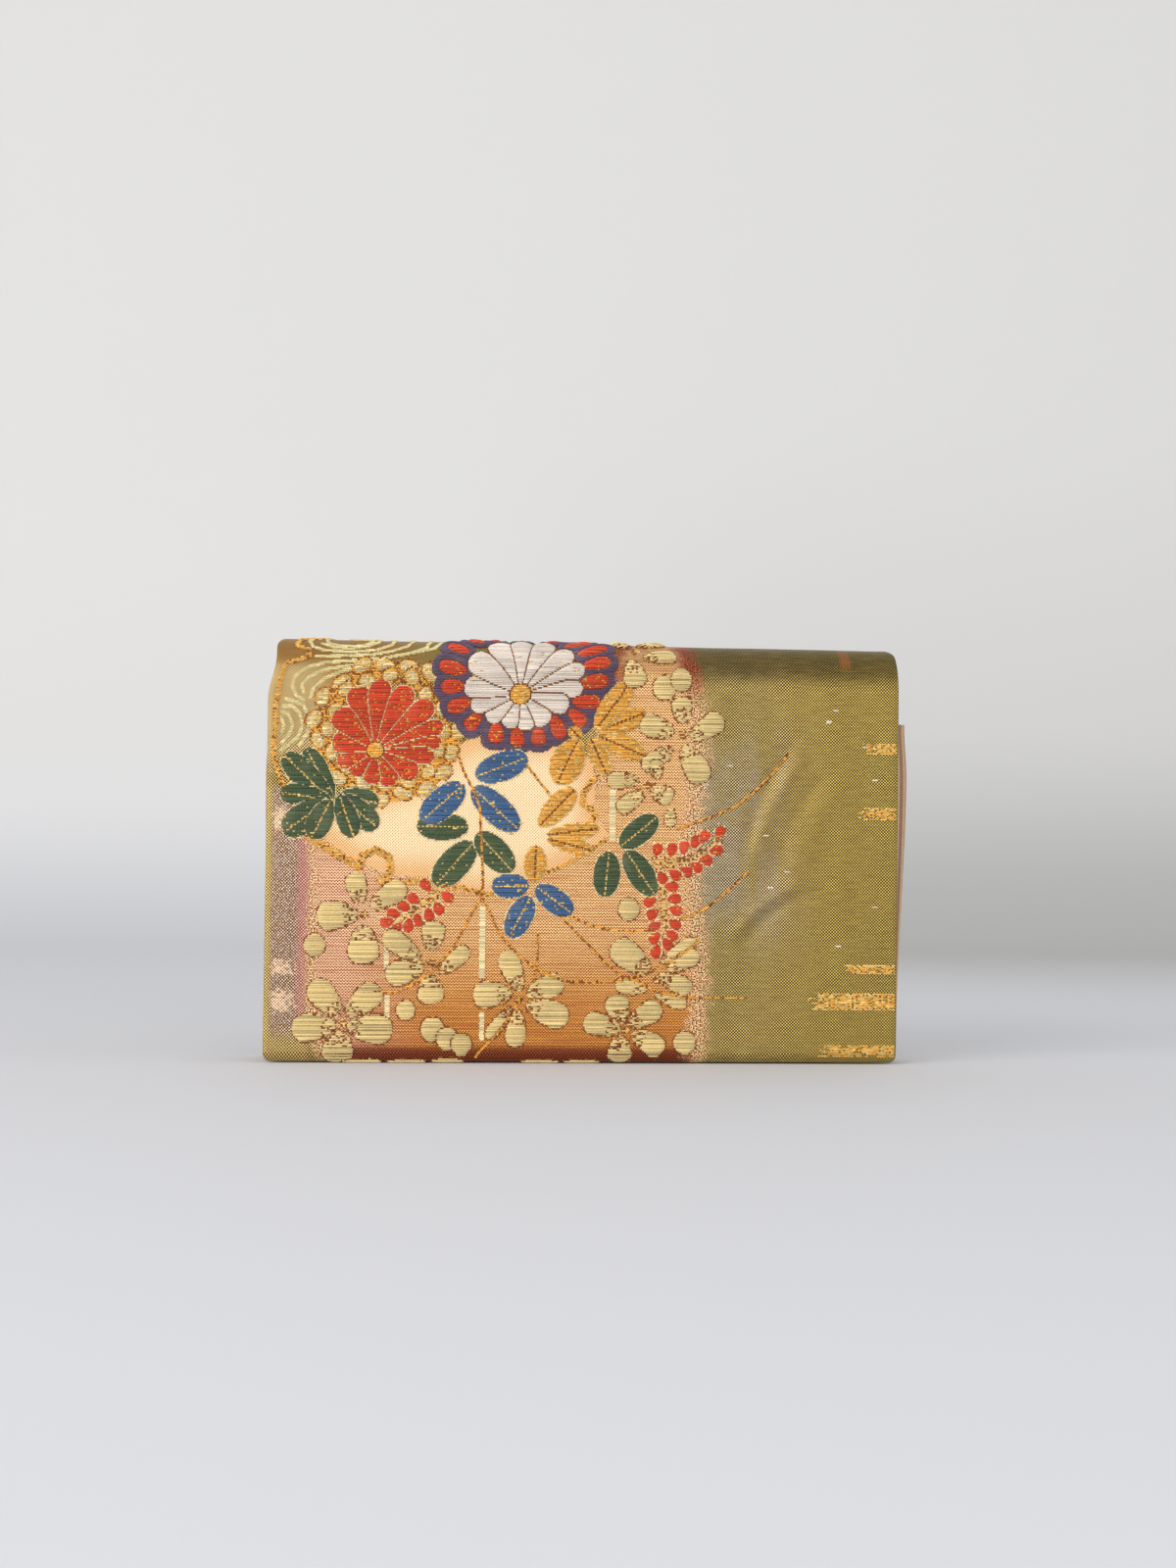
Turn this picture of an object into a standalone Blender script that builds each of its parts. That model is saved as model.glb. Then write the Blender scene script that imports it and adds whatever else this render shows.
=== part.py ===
"""A brocade clutch bag with a stiffened flap that falls over its whole front.

Metres, +Z up. The bag stands on its flat base with the flap towards -Y, and the middle of its
footprint is the origin. Depth below is measured back from the flap's cloth face, and height up
from the table. The flap turns about the top line of the rolled fold, where its cloth ends.

The woven ornament is set out like a weaver's draft: one square is a millimetre of cloth at the
real size, counted across from the left edge of the face and up along the cloth from its foot.
"""

import math

import bmesh
import bpy
from mathutils import Vector
from mathutils.geometry import delaunay_2d_cdt

# Driving sizes of the whole bag
FLAP_WIDTH = 0.220
HEIGHT = 0.146
DEPTH = 0.028
FOLD_RISE = 0.016
EDGE_CORNER = 0.003
LEFT_TUCK = 0.0027
SIDE_SETBACK = 0.0015

# Thicknesses of the layers
COVER = 0.0008
FLAP_BOARD = 0.0012
WALL_BOARD = 0.0010
LINING = 0.0005
LAYER_GAP = 0.0003
GUSSET_CLOTH = 0.0010

# Turned edges
FOOT_GAP = 0.0004
LIP_RISE = 0.0035
FLAP_HEM = 0.008
MOUTH_HEIGHT = 0.124
MOUTH_HEM = 0.010
RIM = 0.0008
EDGE_SOFTENING = 0.0003
BASE_CORNER = 0.0035

# Gussets
GUSSET_TOP_DROP = 0.0025
LEFT_BULGE = 0.0030
RIGHT_BULGE = 0.0050
BULGE_HEIGHT = 0.100

# Snap fastener
SNAP_HEIGHT = 0.034
SNAP_RADIUS = 0.0070
STUD_FLANGE = 0.0008
STUD_PIN_RADIUS = 0.0022
STUD_PIN = 0.0013
SOCKET_THICKNESS = 0.0015
SOCKET_BORE_DEPTH = 0.0012
SNAP_RUN = 0.0003
WASHER_RADIUS = 0.0060
WASHER_BORE = 0.0020
WASHER_THICKNESS = 0.0004

# Slip pocket
POCKET_WIDTH = 0.150
POCKET_FOOT = 0.014
POCKET_TOP = 0.092
POCKET_STAND = 0.0018
POCKET_SEAM = 0.0015

# Woven ornament
DRAFT_WIDTH = 220.0
DRAFT_RIDGE = 153.6
THREAD = 0.00020
THREAD_GAP = 0.00015
OUTLINE_GAP = 0.30
HINGE_CLEAR = 3.0
EDGE_CLEAR = 0.8

# Fineness of the curves
FOLD_STEPS = 7
TURN_STEPS = 4
CORNER_STEPS = 4
ROUND_STEPS = 20
GUSSET_STEPS = 9
GUSSET_COLUMNS = 6
PETAL_POINTS = 10
DROP_POINTS = 8
SLIVER = 0.00005

# Places that follow from the sizes
SHOULDER = HEIGHT - FOLD_RISE
FOLD_REACH = DEPTH / 2
FLAP_LAYERS = COVER + LAYER_GAP + FLAP_BOARD + LAYER_GAP + LINING
WALL_LAYERS = COVER + LAYER_GAP + WALL_BOARD + LAYER_GAP + LINING
FOLD_LAYERS = COVER + LAYER_GAP + LINING
SNAP_SPACE = LAYER_GAP + STUD_FLANGE + SNAP_RUN + SOCKET_THICKNESS + LAYER_GAP
WALL_FACE = FLAP_LAYERS + SNAP_SPACE
LIP_REACH = (FLAP_LAYERS + LAYER_GAP + COVER) / 2
MOUTH_REACH = (WALL_LAYERS + LAYER_GAP + COVER) / 2
FLAP_HALF = FLAP_WIDTH / 2
BODY_HALF = FLAP_HALF - SIDE_SETBACK
INNER_HALF = BODY_HALF - RIM - LAYER_GAP
LIP_TOP = FOOT_GAP + LIP_RISE
FOLD_LENGTH = math.pi / 2 * math.sqrt((FOLD_RISE**2 + FOLD_REACH**2) / 2)
RIDGE_LENGTH = SHOULDER + FOLD_LENGTH
BOARD_TOP = SHOULDER - 0.005

COLOURS = {
    "brocade": ((0.36, 0.27, 0.10), 0.45, 0.45),
    "board": ((0.55, 0.48, 0.38), 0.90, 0.0),
    "satin": ((0.42, 0.10, 0.07), 0.45, 0.0),
    "gusset cloth": ((0.48, 0.33, 0.22), 0.60, 0.2),
    "brass": ((0.80, 0.60, 0.28), 0.30, 1.0),
    "cream thread": ((0.92, 0.80, 0.52), 0.45, 0.3),
    "copper thread": ((0.60, 0.28, 0.17), 0.45, 0.4),
    "plum thread": ((0.13, 0.08, 0.14), 0.60, 0.0),
    "gold thread": ((0.82, 0.48, 0.12), 0.40, 0.5),
    "pale gold thread": ((0.80, 0.62, 0.30), 0.40, 0.4),
    "water thread": ((0.72, 0.66, 0.36), 0.50, 0.2),
    "red thread": ((0.62, 0.07, 0.03), 0.55, 0.0),
    "white thread": ((0.75, 0.69, 0.68), 0.55, 0.0),
    "blue thread": ((0.05, 0.14, 0.36), 0.55, 0.0),
    "green thread": ((0.06, 0.12, 0.07), 0.60, 0.0),
    "straw thread": ((0.70, 0.62, 0.27), 0.55, 0.1),
}


def material(name):
    """The Principled material of that name."""
    found = bpy.data.materials.get(name)
    if found:
        return found
    colour, roughness, metallic = COLOURS[name]
    made = bpy.data.materials.new(name)
    made.use_nodes = True
    shader = made.node_tree.nodes["Principled BSDF"]
    shader.inputs["Base Color"].default_value = (*colour, 1.0)
    shader.inputs["Roughness"].default_value = roughness
    shader.inputs["Metallic"].default_value = metallic
    made.diffuse_color = (*colour, 1.0)
    return made


class Bag:
    """The two empties that carry the pieces: the body, and the flap on its hinge line."""

    def __init__(self):
        self.body = bpy.data.objects.new("bag_body", None)
        self.flap = bpy.data.objects.new("bag_flap", None)
        for empty in (self.body, self.flap):
            bpy.context.scene.collection.objects.link(empty)
        self.flap.parent = self.body
        self.flap.location = (0.0, 0.0, HEIGHT)

    def carry(self, made, on_flap):
        """Puts an object made in bag coordinates on one of the two empties."""
        made.parent = self.flap if on_flap else self.body
        if on_flap:
            made.location = -self.flap.location


def place(x, depth, height):
    """The point at that place across, back from the face and up."""
    return Vector((x, depth - DEPTH / 2, height))


def new_object(bag, name, mesh, finish, on_flap=False):
    """Links an object for the mesh, with its material, on the body or the flap."""
    mesh.materials.append(material(finish))
    made = bpy.data.objects.new(name, mesh)
    bpy.context.scene.collection.objects.link(made)
    bag.carry(made, on_flap)
    return made


def loft(name, rings, closed=False):
    """A solid skin through rings of points, with its ends capped or joined to each other."""
    bm = bmesh.new()
    rows = [[bm.verts.new(point) for point in ring] for ring in rings]
    pairs = list(zip(rows, rows[1:]))
    if closed:
        pairs.append((rows[-1], rows[0]))
    for low, high in pairs:
        for i in range(len(low)):
            j = (i + 1) % len(low)
            bm.faces.new((low[i], low[j], high[j], high[i]))
    if not closed:
        bm.faces.new(reversed(rows[0]))
        bm.faces.new(rows[-1])
    bmesh.ops.triangulate(bm, faces=[f for f in bm.faces if len(f.verts) > 4])
    bmesh.ops.recalc_face_normals(bm, faces=bm.faces)
    mesh = bpy.data.meshes.new(name)
    bm.to_mesh(mesh)
    bm.free()
    return mesh


class Step:
    """One place on a cloth's path: depth, height, and the way out of its outer face."""

    def __init__(self, depth, height, out_depth, out_height):
        size = math.hypot(out_depth, out_height)
        self.depth = depth
        self.height = height
        self.out = (out_depth / size, out_height / size)

    def inset(self, distance):
        """The same step, moved in from the outer face."""
        return Step(
            self.depth - self.out[0] * distance,
            self.height - self.out[1] * distance,
            *self.out,
        )


def arc(centre, radii, start, end, steps):
    """Steps along part of an ellipse, whose angles run from the back towards the top."""
    found = []
    for i in range(steps + 1):
        angle = math.radians(start + (end - start) * i / steps)
        across, up = math.cos(angle), math.sin(angle)
        found.append(
            Step(
                centre[0] + radii[0] * across,
                centre[1] + radii[1] * up,
                across / radii[0],
                up / radii[1],
            )
        )
    return found


def front_fold():
    """The rolled fold from its top line to the flap's flat face."""
    return arc((FOLD_REACH, SHOULDER), (FOLD_REACH, FOLD_RISE), 90, 180, FOLD_STEPS)


def back_fold():
    """The rolled fold from the back wall up to its top line."""
    return arc((FOLD_REACH, SHOULDER), (FOLD_REACH, FOLD_RISE), 0, 90, FOLD_STEPS)


def flap_lip():
    """The flap's foot, which turns under and up inside."""
    return arc((LIP_REACH, LIP_TOP), (LIP_REACH, LIP_RISE), 180, 360, 2 * TURN_STEPS)


def body_corner(depth, start, end):
    """One of the two long rounded corners of the base."""
    return arc((depth, BASE_CORNER), (BASE_CORNER, BASE_CORNER), start, end, CORNER_STEPS)


def wall_path():
    """The body's outer face from under the mouth, round the base and up the back."""
    front = body_corner(WALL_FACE + BASE_CORNER, 180, 270)
    back = body_corner(DEPTH - BASE_CORNER, 270, 360)
    high_front = Step(WALL_FACE, MOUTH_HEIGHT - MOUTH_REACH, -1, 0)
    high_back = Step(DEPTH, BOARD_TOP, 1, 0)
    return [high_front, *front, *back, high_back]


def smooth(share):
    """An even start and end between 0 and 1."""
    share = min(max(share, 0.0), 1.0)
    return share * share * (3 - 2 * share)


def corner_trim(height):
    """How far the rounded corners draw an edge in at that height."""
    near = min(height, HEIGHT - height)
    if near >= EDGE_CORNER:
        return 0.0
    near = max(near, 0.0)
    return EDGE_CORNER - math.sqrt(EDGE_CORNER**2 - (EDGE_CORNER - near) ** 2)


def left_edge(height):
    """Where the flap's left edge is at that height, before its corners are rounded."""
    tuck = smooth((height - MOUTH_HEIGHT) / (HEIGHT - MOUTH_HEIGHT) * 1.4)
    return -FLAP_HALF + LEFT_TUCK * tuck


def flap_edges(height):
    """The flap's left and right edges at that height."""
    trim = corner_trim(height)
    return left_edge(height) + trim, FLAP_HALF - trim


def body_edges(height):
    """The body's left and right edges, which meet the flap's at the fold."""
    trim = corner_trim(height)
    share = smooth((height - MOUTH_HEIGHT) / (HEIGHT - EDGE_CORNER - MOUTH_HEIGHT))
    left = -BODY_HALF + (left_edge(height) + BODY_HALF) * share
    right = BODY_HALF + (FLAP_HALF - BODY_HALF) * share
    return left + trim, right - trim


def cloth_ring(step, edges, thickness, rim_depth):
    """A cloth's section at one step: its face, and behind it a rim along each side."""
    left, right = edges
    deep = max(rim_depth, thickness + SLIVER)
    outline = (
        (left, EDGE_SOFTENING),
        (left + EDGE_SOFTENING, 0.0),
        (right - EDGE_SOFTENING, 0.0),
        (right, EDGE_SOFTENING),
        (right, deep),
        (right - RIM, deep),
        (right - RIM, thickness),
        (left + RIM, thickness),
        (left + RIM, deep),
        (left, deep),
    )
    ring = []
    for x, distance in outline:
        moved = step.inset(distance)
        ring.append(place(x, moved.depth, moved.height))
    return ring


def plain_ring(step, left, right, thickness):
    """A lining's section at one step, with square edges."""
    ring = []
    for x, distance in ((left, 0), (right, 0), (right, 1), (left, 1)):
        moved = step.inset(thickness * distance)
        ring.append(place(x, moved.depth, moved.height))
    return ring


def flap_cover(bag):
    """The flap's brocade: half of the fold, the face, the lip at its foot and the hem inside."""
    rings = [cloth_ring(s, flap_edges(s.height), COVER, FOLD_LAYERS) for s in front_fold()]
    rings[0] = [point - Vector((0, LAYER_GAP / 2, 0)) for point in rings[0]]
    face = (Step(0, BOARD_TOP, -1, 0), Step(0, LIP_TOP + RIM, -1, 0))
    rings += [cloth_ring(s, flap_edges(s.height), COVER, FLAP_LAYERS) for s in face]
    lip = flap_lip()
    hem_end = Step(lip[-1].depth, LIP_TOP + FLAP_HEM, 1, 0)
    rings += [cloth_ring(s, flap_edges(s.height), COVER, COVER) for s in (*lip, hem_end)]
    new_object(bag, "flap_cover", loft("flap_cover", rings), "brocade", on_flap=True)


def flap_lining(bag):
    """The satin under the flap, from the top line down into the hem."""
    setback = RIM + LAYER_GAP
    under_fold = COVER + LAYER_GAP
    under_face = FLAP_LAYERS - LINING
    rings = []
    for step in front_fold():
        left, right = flap_edges(step.height)
        rings.append(plain_ring(step.inset(under_fold), left + setback, right - setback, LINING))
    rings[0] = [point - Vector((0, LAYER_GAP / 2, 0)) for point in rings[0]]
    for height in (BOARD_TOP, LIP_TOP + LAYER_GAP):
        step = Step(under_face, height, -1, 0)
        left, right = flap_edges(height)
        rings.append(plain_ring(step, left + setback, right - setback, LINING))
    new_object(bag, "flap_lining", loft("flap_lining", rings), "satin", on_flap=True)


def body_cover(bag):
    """The body's brocade: hem, mouth, front wall, base, back wall and half of the fold."""
    turn_height = MOUTH_HEIGHT - MOUTH_REACH
    centre = (WALL_FACE + MOUTH_REACH, turn_height)
    turn = arc(centre, (MOUTH_REACH, MOUTH_REACH), 0, 180, 2 * TURN_STEPS)
    hem_half = INNER_HALF - GUSSET_CLOTH - 2 * LAYER_GAP
    hem = Step(turn[0].depth, turn_height - MOUTH_HEM, 1, 0)
    rings = [cloth_ring(hem, (-hem_half, hem_half), COVER, COVER)]
    for i, step in enumerate(turn[:-1]):
        half = hem_half + (BODY_HALF - hem_half) * i / (len(turn) - 1)
        rings.append(cloth_ring(step, (-half, half), COVER, COVER))
    wall = wall_path()
    rings.append(cloth_ring(wall[0], body_edges(wall[0].height), COVER, COVER))
    below = Step(WALL_FACE, wall[0].height - RIM, -1, 0)
    rings += [
        cloth_ring(s, body_edges(s.height), COVER, WALL_LAYERS) for s in (below, *wall[1:])
    ]
    rings += [cloth_ring(s, body_edges(s.height), COVER, FOLD_LAYERS) for s in back_fold()]
    rings[-1] = [point + Vector((0, LAYER_GAP / 2, 0)) for point in rings[-1]]
    new_object(bag, "body_cover", loft("body_cover", rings), "brocade")


def lining_edges(height):
    """The body lining's left and right edges, held clear of the rounded foot of the cover."""
    left, right = body_edges(max(height, BASE_CORNER))
    setback = RIM + LAYER_GAP
    if height < BASE_CORNER - SLIVER:
        setback += EDGE_CORNER
    return left + setback, right - setback


def body_lining(bag):
    """The satin inside the body, from the mouth hem round the base and up to the top line."""
    wall = wall_path()
    wall[0] = Step(WALL_FACE, wall[0].height - LAYER_GAP, -1, 0)
    rings = []
    for step in wall:
        inner = step.inset(WALL_LAYERS - LINING)
        rings.append(plain_ring(inner, *lining_edges(step.height), LINING))
    for step in back_fold():
        inner = step.inset(FOLD_LAYERS - LINING)
        rings.append(plain_ring(inner, *lining_edges(step.height), LINING))
    rings[-1] = [point + Vector((0, LAYER_GAP / 2, 0)) for point in rings[-1]]
    new_object(bag, "body_lining", loft("body_lining", rings), "satin")


def plate(bag, name, half, depths, heights, finish, on_flap=False):
    """A flat board between two depths and two heights."""
    rings = []
    for height in heights:
        rings.append(
            [
                place(-half, depths[0], height),
                place(half, depths[0], height),
                place(half, depths[1], height),
                place(-half, depths[1], height),
            ]
        )
    return new_object(bag, name, loft(name, rings), finish, on_flap)


def turned(name, profile, depth, closed=False):
    """A round piece on the snap's axis, from pairs of a radius and a distance back."""
    rings = []
    for radius, back in profile:
        ring = []
        for i in range(ROUND_STEPS):
            angle = 2 * math.pi * i / ROUND_STEPS
            x, up = radius * math.cos(angle), radius * math.sin(angle)
            ring.append(place(x, depth + back, SNAP_HEIGHT + up))
        rings.append(ring)
    return loft(name, rings, closed)


def pierce(board, bag, on_flap):
    """Cuts the round hole for a snap washer through a board."""
    reach = FLAP_BOARD + WALL_BOARD
    middle = board.data.vertices[0].co.y + DEPTH / 2
    radius = WASHER_RADIUS + LAYER_GAP
    profile = ((radius, -reach), (radius, reach))
    cutter_name = board.name + "_hole"
    cutter = new_object(bag, cutter_name, turned(cutter_name, profile, middle), "board", on_flap)
    cutter.hide_render = True
    cutter.display_type = "WIRE"
    cutter.hide_set(True)
    hole = board.modifiers.new("washer hole", "BOOLEAN")
    hole.object = cutter
    hole.operation = "DIFFERENCE"
    hole.solver = "EXACT"


def boards(bag):
    """The stiffeners of the flap, the two walls and the base."""
    front = COVER + LAYER_GAP
    flap_board = plate(
        bag,
        "flap_board",
        FLAP_HALF - RIM - LAYER_GAP,
        (front, front + FLAP_BOARD),
        (LIP_TOP + LAYER_GAP, BOARD_TOP),
        "board",
        on_flap=True,
    )
    pierce(flap_board, bag, True)
    wall = WALL_FACE + COVER + LAYER_GAP
    mouth = MOUTH_HEIGHT - MOUTH_REACH - LAYER_GAP
    front_board = plate(
        bag, "front_board", INNER_HALF, (wall, wall + WALL_BOARD), (BASE_CORNER, mouth), "board"
    )
    pierce(front_board, bag, False)
    back = DEPTH - COVER - LAYER_GAP
    plate(
        bag, "back_board", INNER_HALF, (back - WALL_BOARD, back), (BASE_CORNER, BOARD_TOP), "board"
    )
    plate(
        bag,
        "base_board",
        INNER_HALF - EDGE_CORNER,
        (WALL_FACE + BASE_CORNER, DEPTH - BASE_CORNER),
        (COVER + LAYER_GAP, COVER + LAYER_GAP + WALL_BOARD),
        "board",
    )


def bulge_share(height, low, high):
    """How much of its bulge a gusset has at that height: most in its upper part."""
    if height > BULGE_HEIGHT:
        return 0.35 + 0.65 * smooth((high - height) / (high - BULGE_HEIGHT))
    return 0.15 + 0.85 * smooth((height - low) / (BULGE_HEIGHT - low))


def gusset(bag, name, side, bulge):
    """A side cloth between the two walls, bowed outwards."""
    low = WALL_LAYERS + LAYER_GAP
    high = MOUTH_HEIGHT - GUSSET_TOP_DROP - MOUTH_REACH + LAYER_GAP
    near = WALL_FACE + WALL_LAYERS + LAYER_GAP
    far = DEPTH - WALL_LAYERS - LAYER_GAP
    inner = INNER_HALF - GUSSET_CLOTH
    rings = []
    for i in range(GUSSET_STEPS + 1):
        height = low + (high - low) * i / GUSSET_STEPS
        bow = bulge * bulge_share(height, low, high)
        trim = corner_trim(height)
        columns = []
        for j in range(GUSSET_COLUMNS + 1):
            share = 2 * j / GUSSET_COLUMNS - 1
            depth = (near + far) / 2 + (far - near) / 2 * share
            columns.append((inner - trim + bow * (1 - share * share), depth))
        ring = [place(side * x, depth, height) for x, depth in columns]
        ring += [
            place(side * (x + GUSSET_CLOTH), depth, height) for x, depth in reversed(columns)
        ]
        rings.append(ring)
    new_object(bag, name, loft(name, rings), "gusset cloth")


def slip_pocket(bag):
    """A flat pocket sewn to the back lining along its foot and sides, open at the top."""
    wall = DEPTH - WALL_LAYERS - LAYER_GAP
    half = POCKET_WIDTH / 2
    inner = half - POCKET_SEAM
    face, back = wall - POCKET_STAND - LINING, wall
    rows = (
        (POCKET_FOOT, back - SLIVER),
        (POCKET_FOOT + POCKET_SEAM, back - SLIVER),
        (POCKET_FOOT + POCKET_SEAM + LAYER_GAP, face + LINING),
        (POCKET_TOP, face + LINING),
    )
    rings = []
    for height, behind in rows:
        outline = (
            (-half, face),
            (half, face),
            (half, back),
            (inner, back),
            (inner, behind),
            (-inner, behind),
            (-inner, back),
            (-half, back),
        )
        rings.append([place(x, depth, height) for x, depth in outline])
    new_object(bag, "slip_pocket", loft("slip_pocket", rings), "satin")


def snap(bag):
    """The two halves of the snap fastener and the washers that hold them in the boards."""
    stud = FLAP_LAYERS + LAYER_GAP
    edge = STUD_FLANGE / 3
    profile = (
        (SNAP_RADIUS - edge, 0),
        (SNAP_RADIUS, edge),
        (SNAP_RADIUS - edge, STUD_FLANGE),
        (STUD_PIN_RADIUS, STUD_FLANGE),
        (STUD_PIN_RADIUS, STUD_FLANGE + STUD_PIN - edge),
        (STUD_PIN_RADIUS - edge, STUD_FLANGE + STUD_PIN),
    )
    new_object(bag, "snap_stud", turned("snap_stud", profile, stud), "brass", on_flap=True)
    socket = stud + STUD_FLANGE + SNAP_RUN
    bore = STUD_PIN_RADIUS + SNAP_RUN
    profile = (
        (SNAP_RADIUS, SOCKET_THICKNESS),
        (SNAP_RADIUS, edge),
        (SNAP_RADIUS - edge, 0),
        (bore, 0),
        (bore, SOCKET_BORE_DEPTH),
    )
    new_object(bag, "snap_socket", turned("snap_socket", profile, socket), "brass")
    ring = (
        (WASHER_BORE, 0),
        (WASHER_RADIUS, 0),
        (WASHER_RADIUS, WASHER_THICKNESS),
        (WASHER_BORE, WASHER_THICKNESS),
    )
    flap_seat = COVER + LAYER_GAP + (FLAP_BOARD - WASHER_THICKNESS) / 2
    wall_seat = WALL_FACE + COVER + LAYER_GAP + (WALL_BOARD - WASHER_THICKNESS) / 2
    for name, seat, on_flap in (
        ("snap_stud_washer", flap_seat, True),
        ("snap_socket_washer", wall_seat, False),
    ):
        new_object(bag, name, turned(name, ring, seat, closed=True), "brass", on_flap)


def draft_to_cloth(up):
    """The length along the cloth of a height in draft squares."""
    return up * RIDGE_LENGTH / DRAFT_RIDGE


def cloth_to_draft(length):
    """The height in draft squares of a length along the cloth."""
    return length * DRAFT_RIDGE / RIDGE_LENGTH


def face_step(length):
    """The step on the outer cloth at a length up from the foot, over the fold and down behind."""
    if length < LIP_TOP:
        angle = math.radians(180 + 90 * (LIP_TOP - length) / LIP_TOP)
        centre, radii = (LIP_REACH, LIP_TOP), (LIP_REACH, LIP_RISE)
    elif length <= SHOULDER:
        return Step(0, length, -1, 0)
    elif length <= SHOULDER + 2 * FOLD_LENGTH:
        angle = math.radians(180 - 90 * (length - SHOULDER) / FOLD_LENGTH)
        centre, radii = (FOLD_REACH, SHOULDER), (FOLD_REACH, FOLD_RISE)
    else:
        return Step(DEPTH, 2 * SHOULDER + 2 * FOLD_LENGTH - length, 1, 0)
    across, up = math.cos(angle), math.sin(angle)
    return Step(
        centre[0] + radii[0] * across,
        centre[1] + radii[1] * up,
        across / radii[0],
        up / radii[1],
    )


def bend_lines():
    """The draft heights at which the faceted cloth bends, where ornament has to bend too."""
    lips = [LIP_TOP * i / TURN_STEPS for i in range(1, TURN_STEPS + 1)]
    folds = [SHOULDER + FOLD_LENGTH * i / FOLD_STEPS for i in range(2 * FOLD_STEPS + 1)]
    return [cloth_to_draft(length) for length in (*lips, *folds)]


def on_cloth(across, up, lift):
    """The point over a draft place, lifted off the cloth."""
    step = face_step(draft_to_cloth(up)).inset(-lift)
    x = (across / DRAFT_WIDTH - 0.5) * FLAP_WIDTH
    if x < 0:
        x *= left_edge(step.height) / -FLAP_HALF
    return place(x, step.depth, step.height)


def anticlockwise(outline):
    """The same closed outline, with its points in anticlockwise order."""
    total = 0.0
    for (ax, ay), (bx, by) in zip(outline, outline[1:] + outline[:1]):
        total += ax * by - bx * ay
    return outline if total > 0 else outline[::-1]


def grown(outline, distance):
    """A closed anticlockwise outline moved out by a distance along its own normals."""
    moved = []
    for i, (x, y) in enumerate(outline):
        before, after = outline[i - 1], outline[(i + 1) % len(outline)]
        along = Vector((after[0] - before[0], after[1] - before[1])).normalized()
        moved.append((x + along.y * distance, y - along.x * distance))
    return moved


def flat_pattern(outlines, holes, low, high):
    """The area inside any outline and no hole, between two heights, as points and triangles."""
    points, faces, edges = [], [], []
    for outline in (*outlines, *holes):
        first = len(points)
        points += [Vector(p) for p in outline]
        faces.append(list(range(first, len(points))))
    left = min(p.x for p in points) - 1
    right = max(p.x for p in points) + 1
    bottom = min(p.y for p in points)
    top = max(p.y for p in points)
    for line in (*bend_lines(), low, high):
        if bottom < line < top:
            edges.append((len(points), len(points) + 1))
            points += [Vector((left, line)), Vector((right, line))]
    found = delaunay_2d_cdt(points, edges, faces, 0, 0.02, True)
    spots, triangles, sources = found[0], found[2], found[5]
    kept = []
    for triangle, source in zip(triangles, sources):
        middle = sum((spots[i].y for i in triangle)) / 3
        solid = any(f < len(outlines) for f in source)
        cut = any(f >= len(outlines) for f in source)
        if solid and not cut and low < middle < high:
            kept.append(tuple(triangle))
    return spots, one_piece(kept)


def joined_groups(triangles):
    """The triangles in groups that hang together by their edges, the largest group first."""
    owners = {}
    for number, triangle in enumerate(triangles):
        for i in range(3):
            edge = frozenset((triangle[i], triangle[(i + 1) % 3]))
            owners.setdefault(edge, []).append(number)
    seen, groups = set(), []
    for start in range(len(triangles)):
        if start in seen:
            continue
        seen.add(start)
        group = [start]
        for number in group:
            triangle = triangles[number]
            for i in range(3):
                for other in owners[frozenset((triangle[i], triangle[(i + 1) % 3]))]:
                    if other not in seen:
                        seen.add(other)
                        group.append(other)
        groups.append([triangles[number] for number in group])
    return sorted(groups, key=len, reverse=True)


def one_piece(triangles):
    """The largest group of triangles, without those that only touch the rest at a corner."""
    kept = joined_groups(triangles)[0]
    while True:
        around = {}
        for triangle in kept:
            for spot in triangle:
                around.setdefault(spot, []).append(triangle)
        loose = set()
        for fan in around.values():
            for group in joined_groups(fan)[1:]:
                loose.update(group)
        if not loose:
            return kept
        kept = joined_groups([triangle for triangle in kept if triangle not in loose])[0]


class Weaver:
    """Lays the ornament on the cloth, each figure beside the ones already in its layer."""

    def __init__(self, bag):
        self.bag = bag
        self.taken = {}
        ridge = DRAFT_RIDGE
        self.front = (EDGE_CLEAR, ridge - HINGE_CLEAR)
        self.behind = (ridge + HINGE_CLEAR, 2 * ridge)

    def weave(self, name, outlines, layer, finish, behind=False):
        """One raised figure of one thread, flat underneath and on top."""
        low, high = self.behind if behind else self.front
        outlines = [anticlockwise(outline) for outline in outlines]
        taken = self.taken.setdefault((layer, behind), [])
        holes = [grown(outline, OUTLINE_GAP) for outline in taken]
        spots, triangles = flat_pattern(outlines, holes, low, high)
        taken += outlines
        bottom = THREAD_GAP + layer * (THREAD + THREAD_GAP)
        bm = bmesh.new()
        used = sorted({i for triangle in triangles for i in triangle})
        floor = {i: bm.verts.new(on_cloth(*spots[i], bottom)) for i in used}
        roof = {i: bm.verts.new(on_cloth(*spots[i], bottom + THREAD)) for i in used}
        border = {}
        for triangle in triangles:
            bm.faces.new([roof[i] for i in triangle])
            bm.faces.new([floor[i] for i in reversed(triangle)])
            for i in range(3):
                edge = (triangle[i], triangle[(i + 1) % 3])
                if edge[::-1] in border:
                    del border[edge[::-1]]
                else:
                    border[edge] = True
        for a, b in border:
            bm.faces.new((roof[b], roof[a], floor[a], floor[b]))
        bmesh.ops.recalc_face_normals(bm, faces=bm.faces)
        mesh = bpy.data.meshes.new(name)
        bm.to_mesh(mesh)
        bm.free()
        new_object(self.bag, name, mesh, finish, on_flap=not behind)


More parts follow.
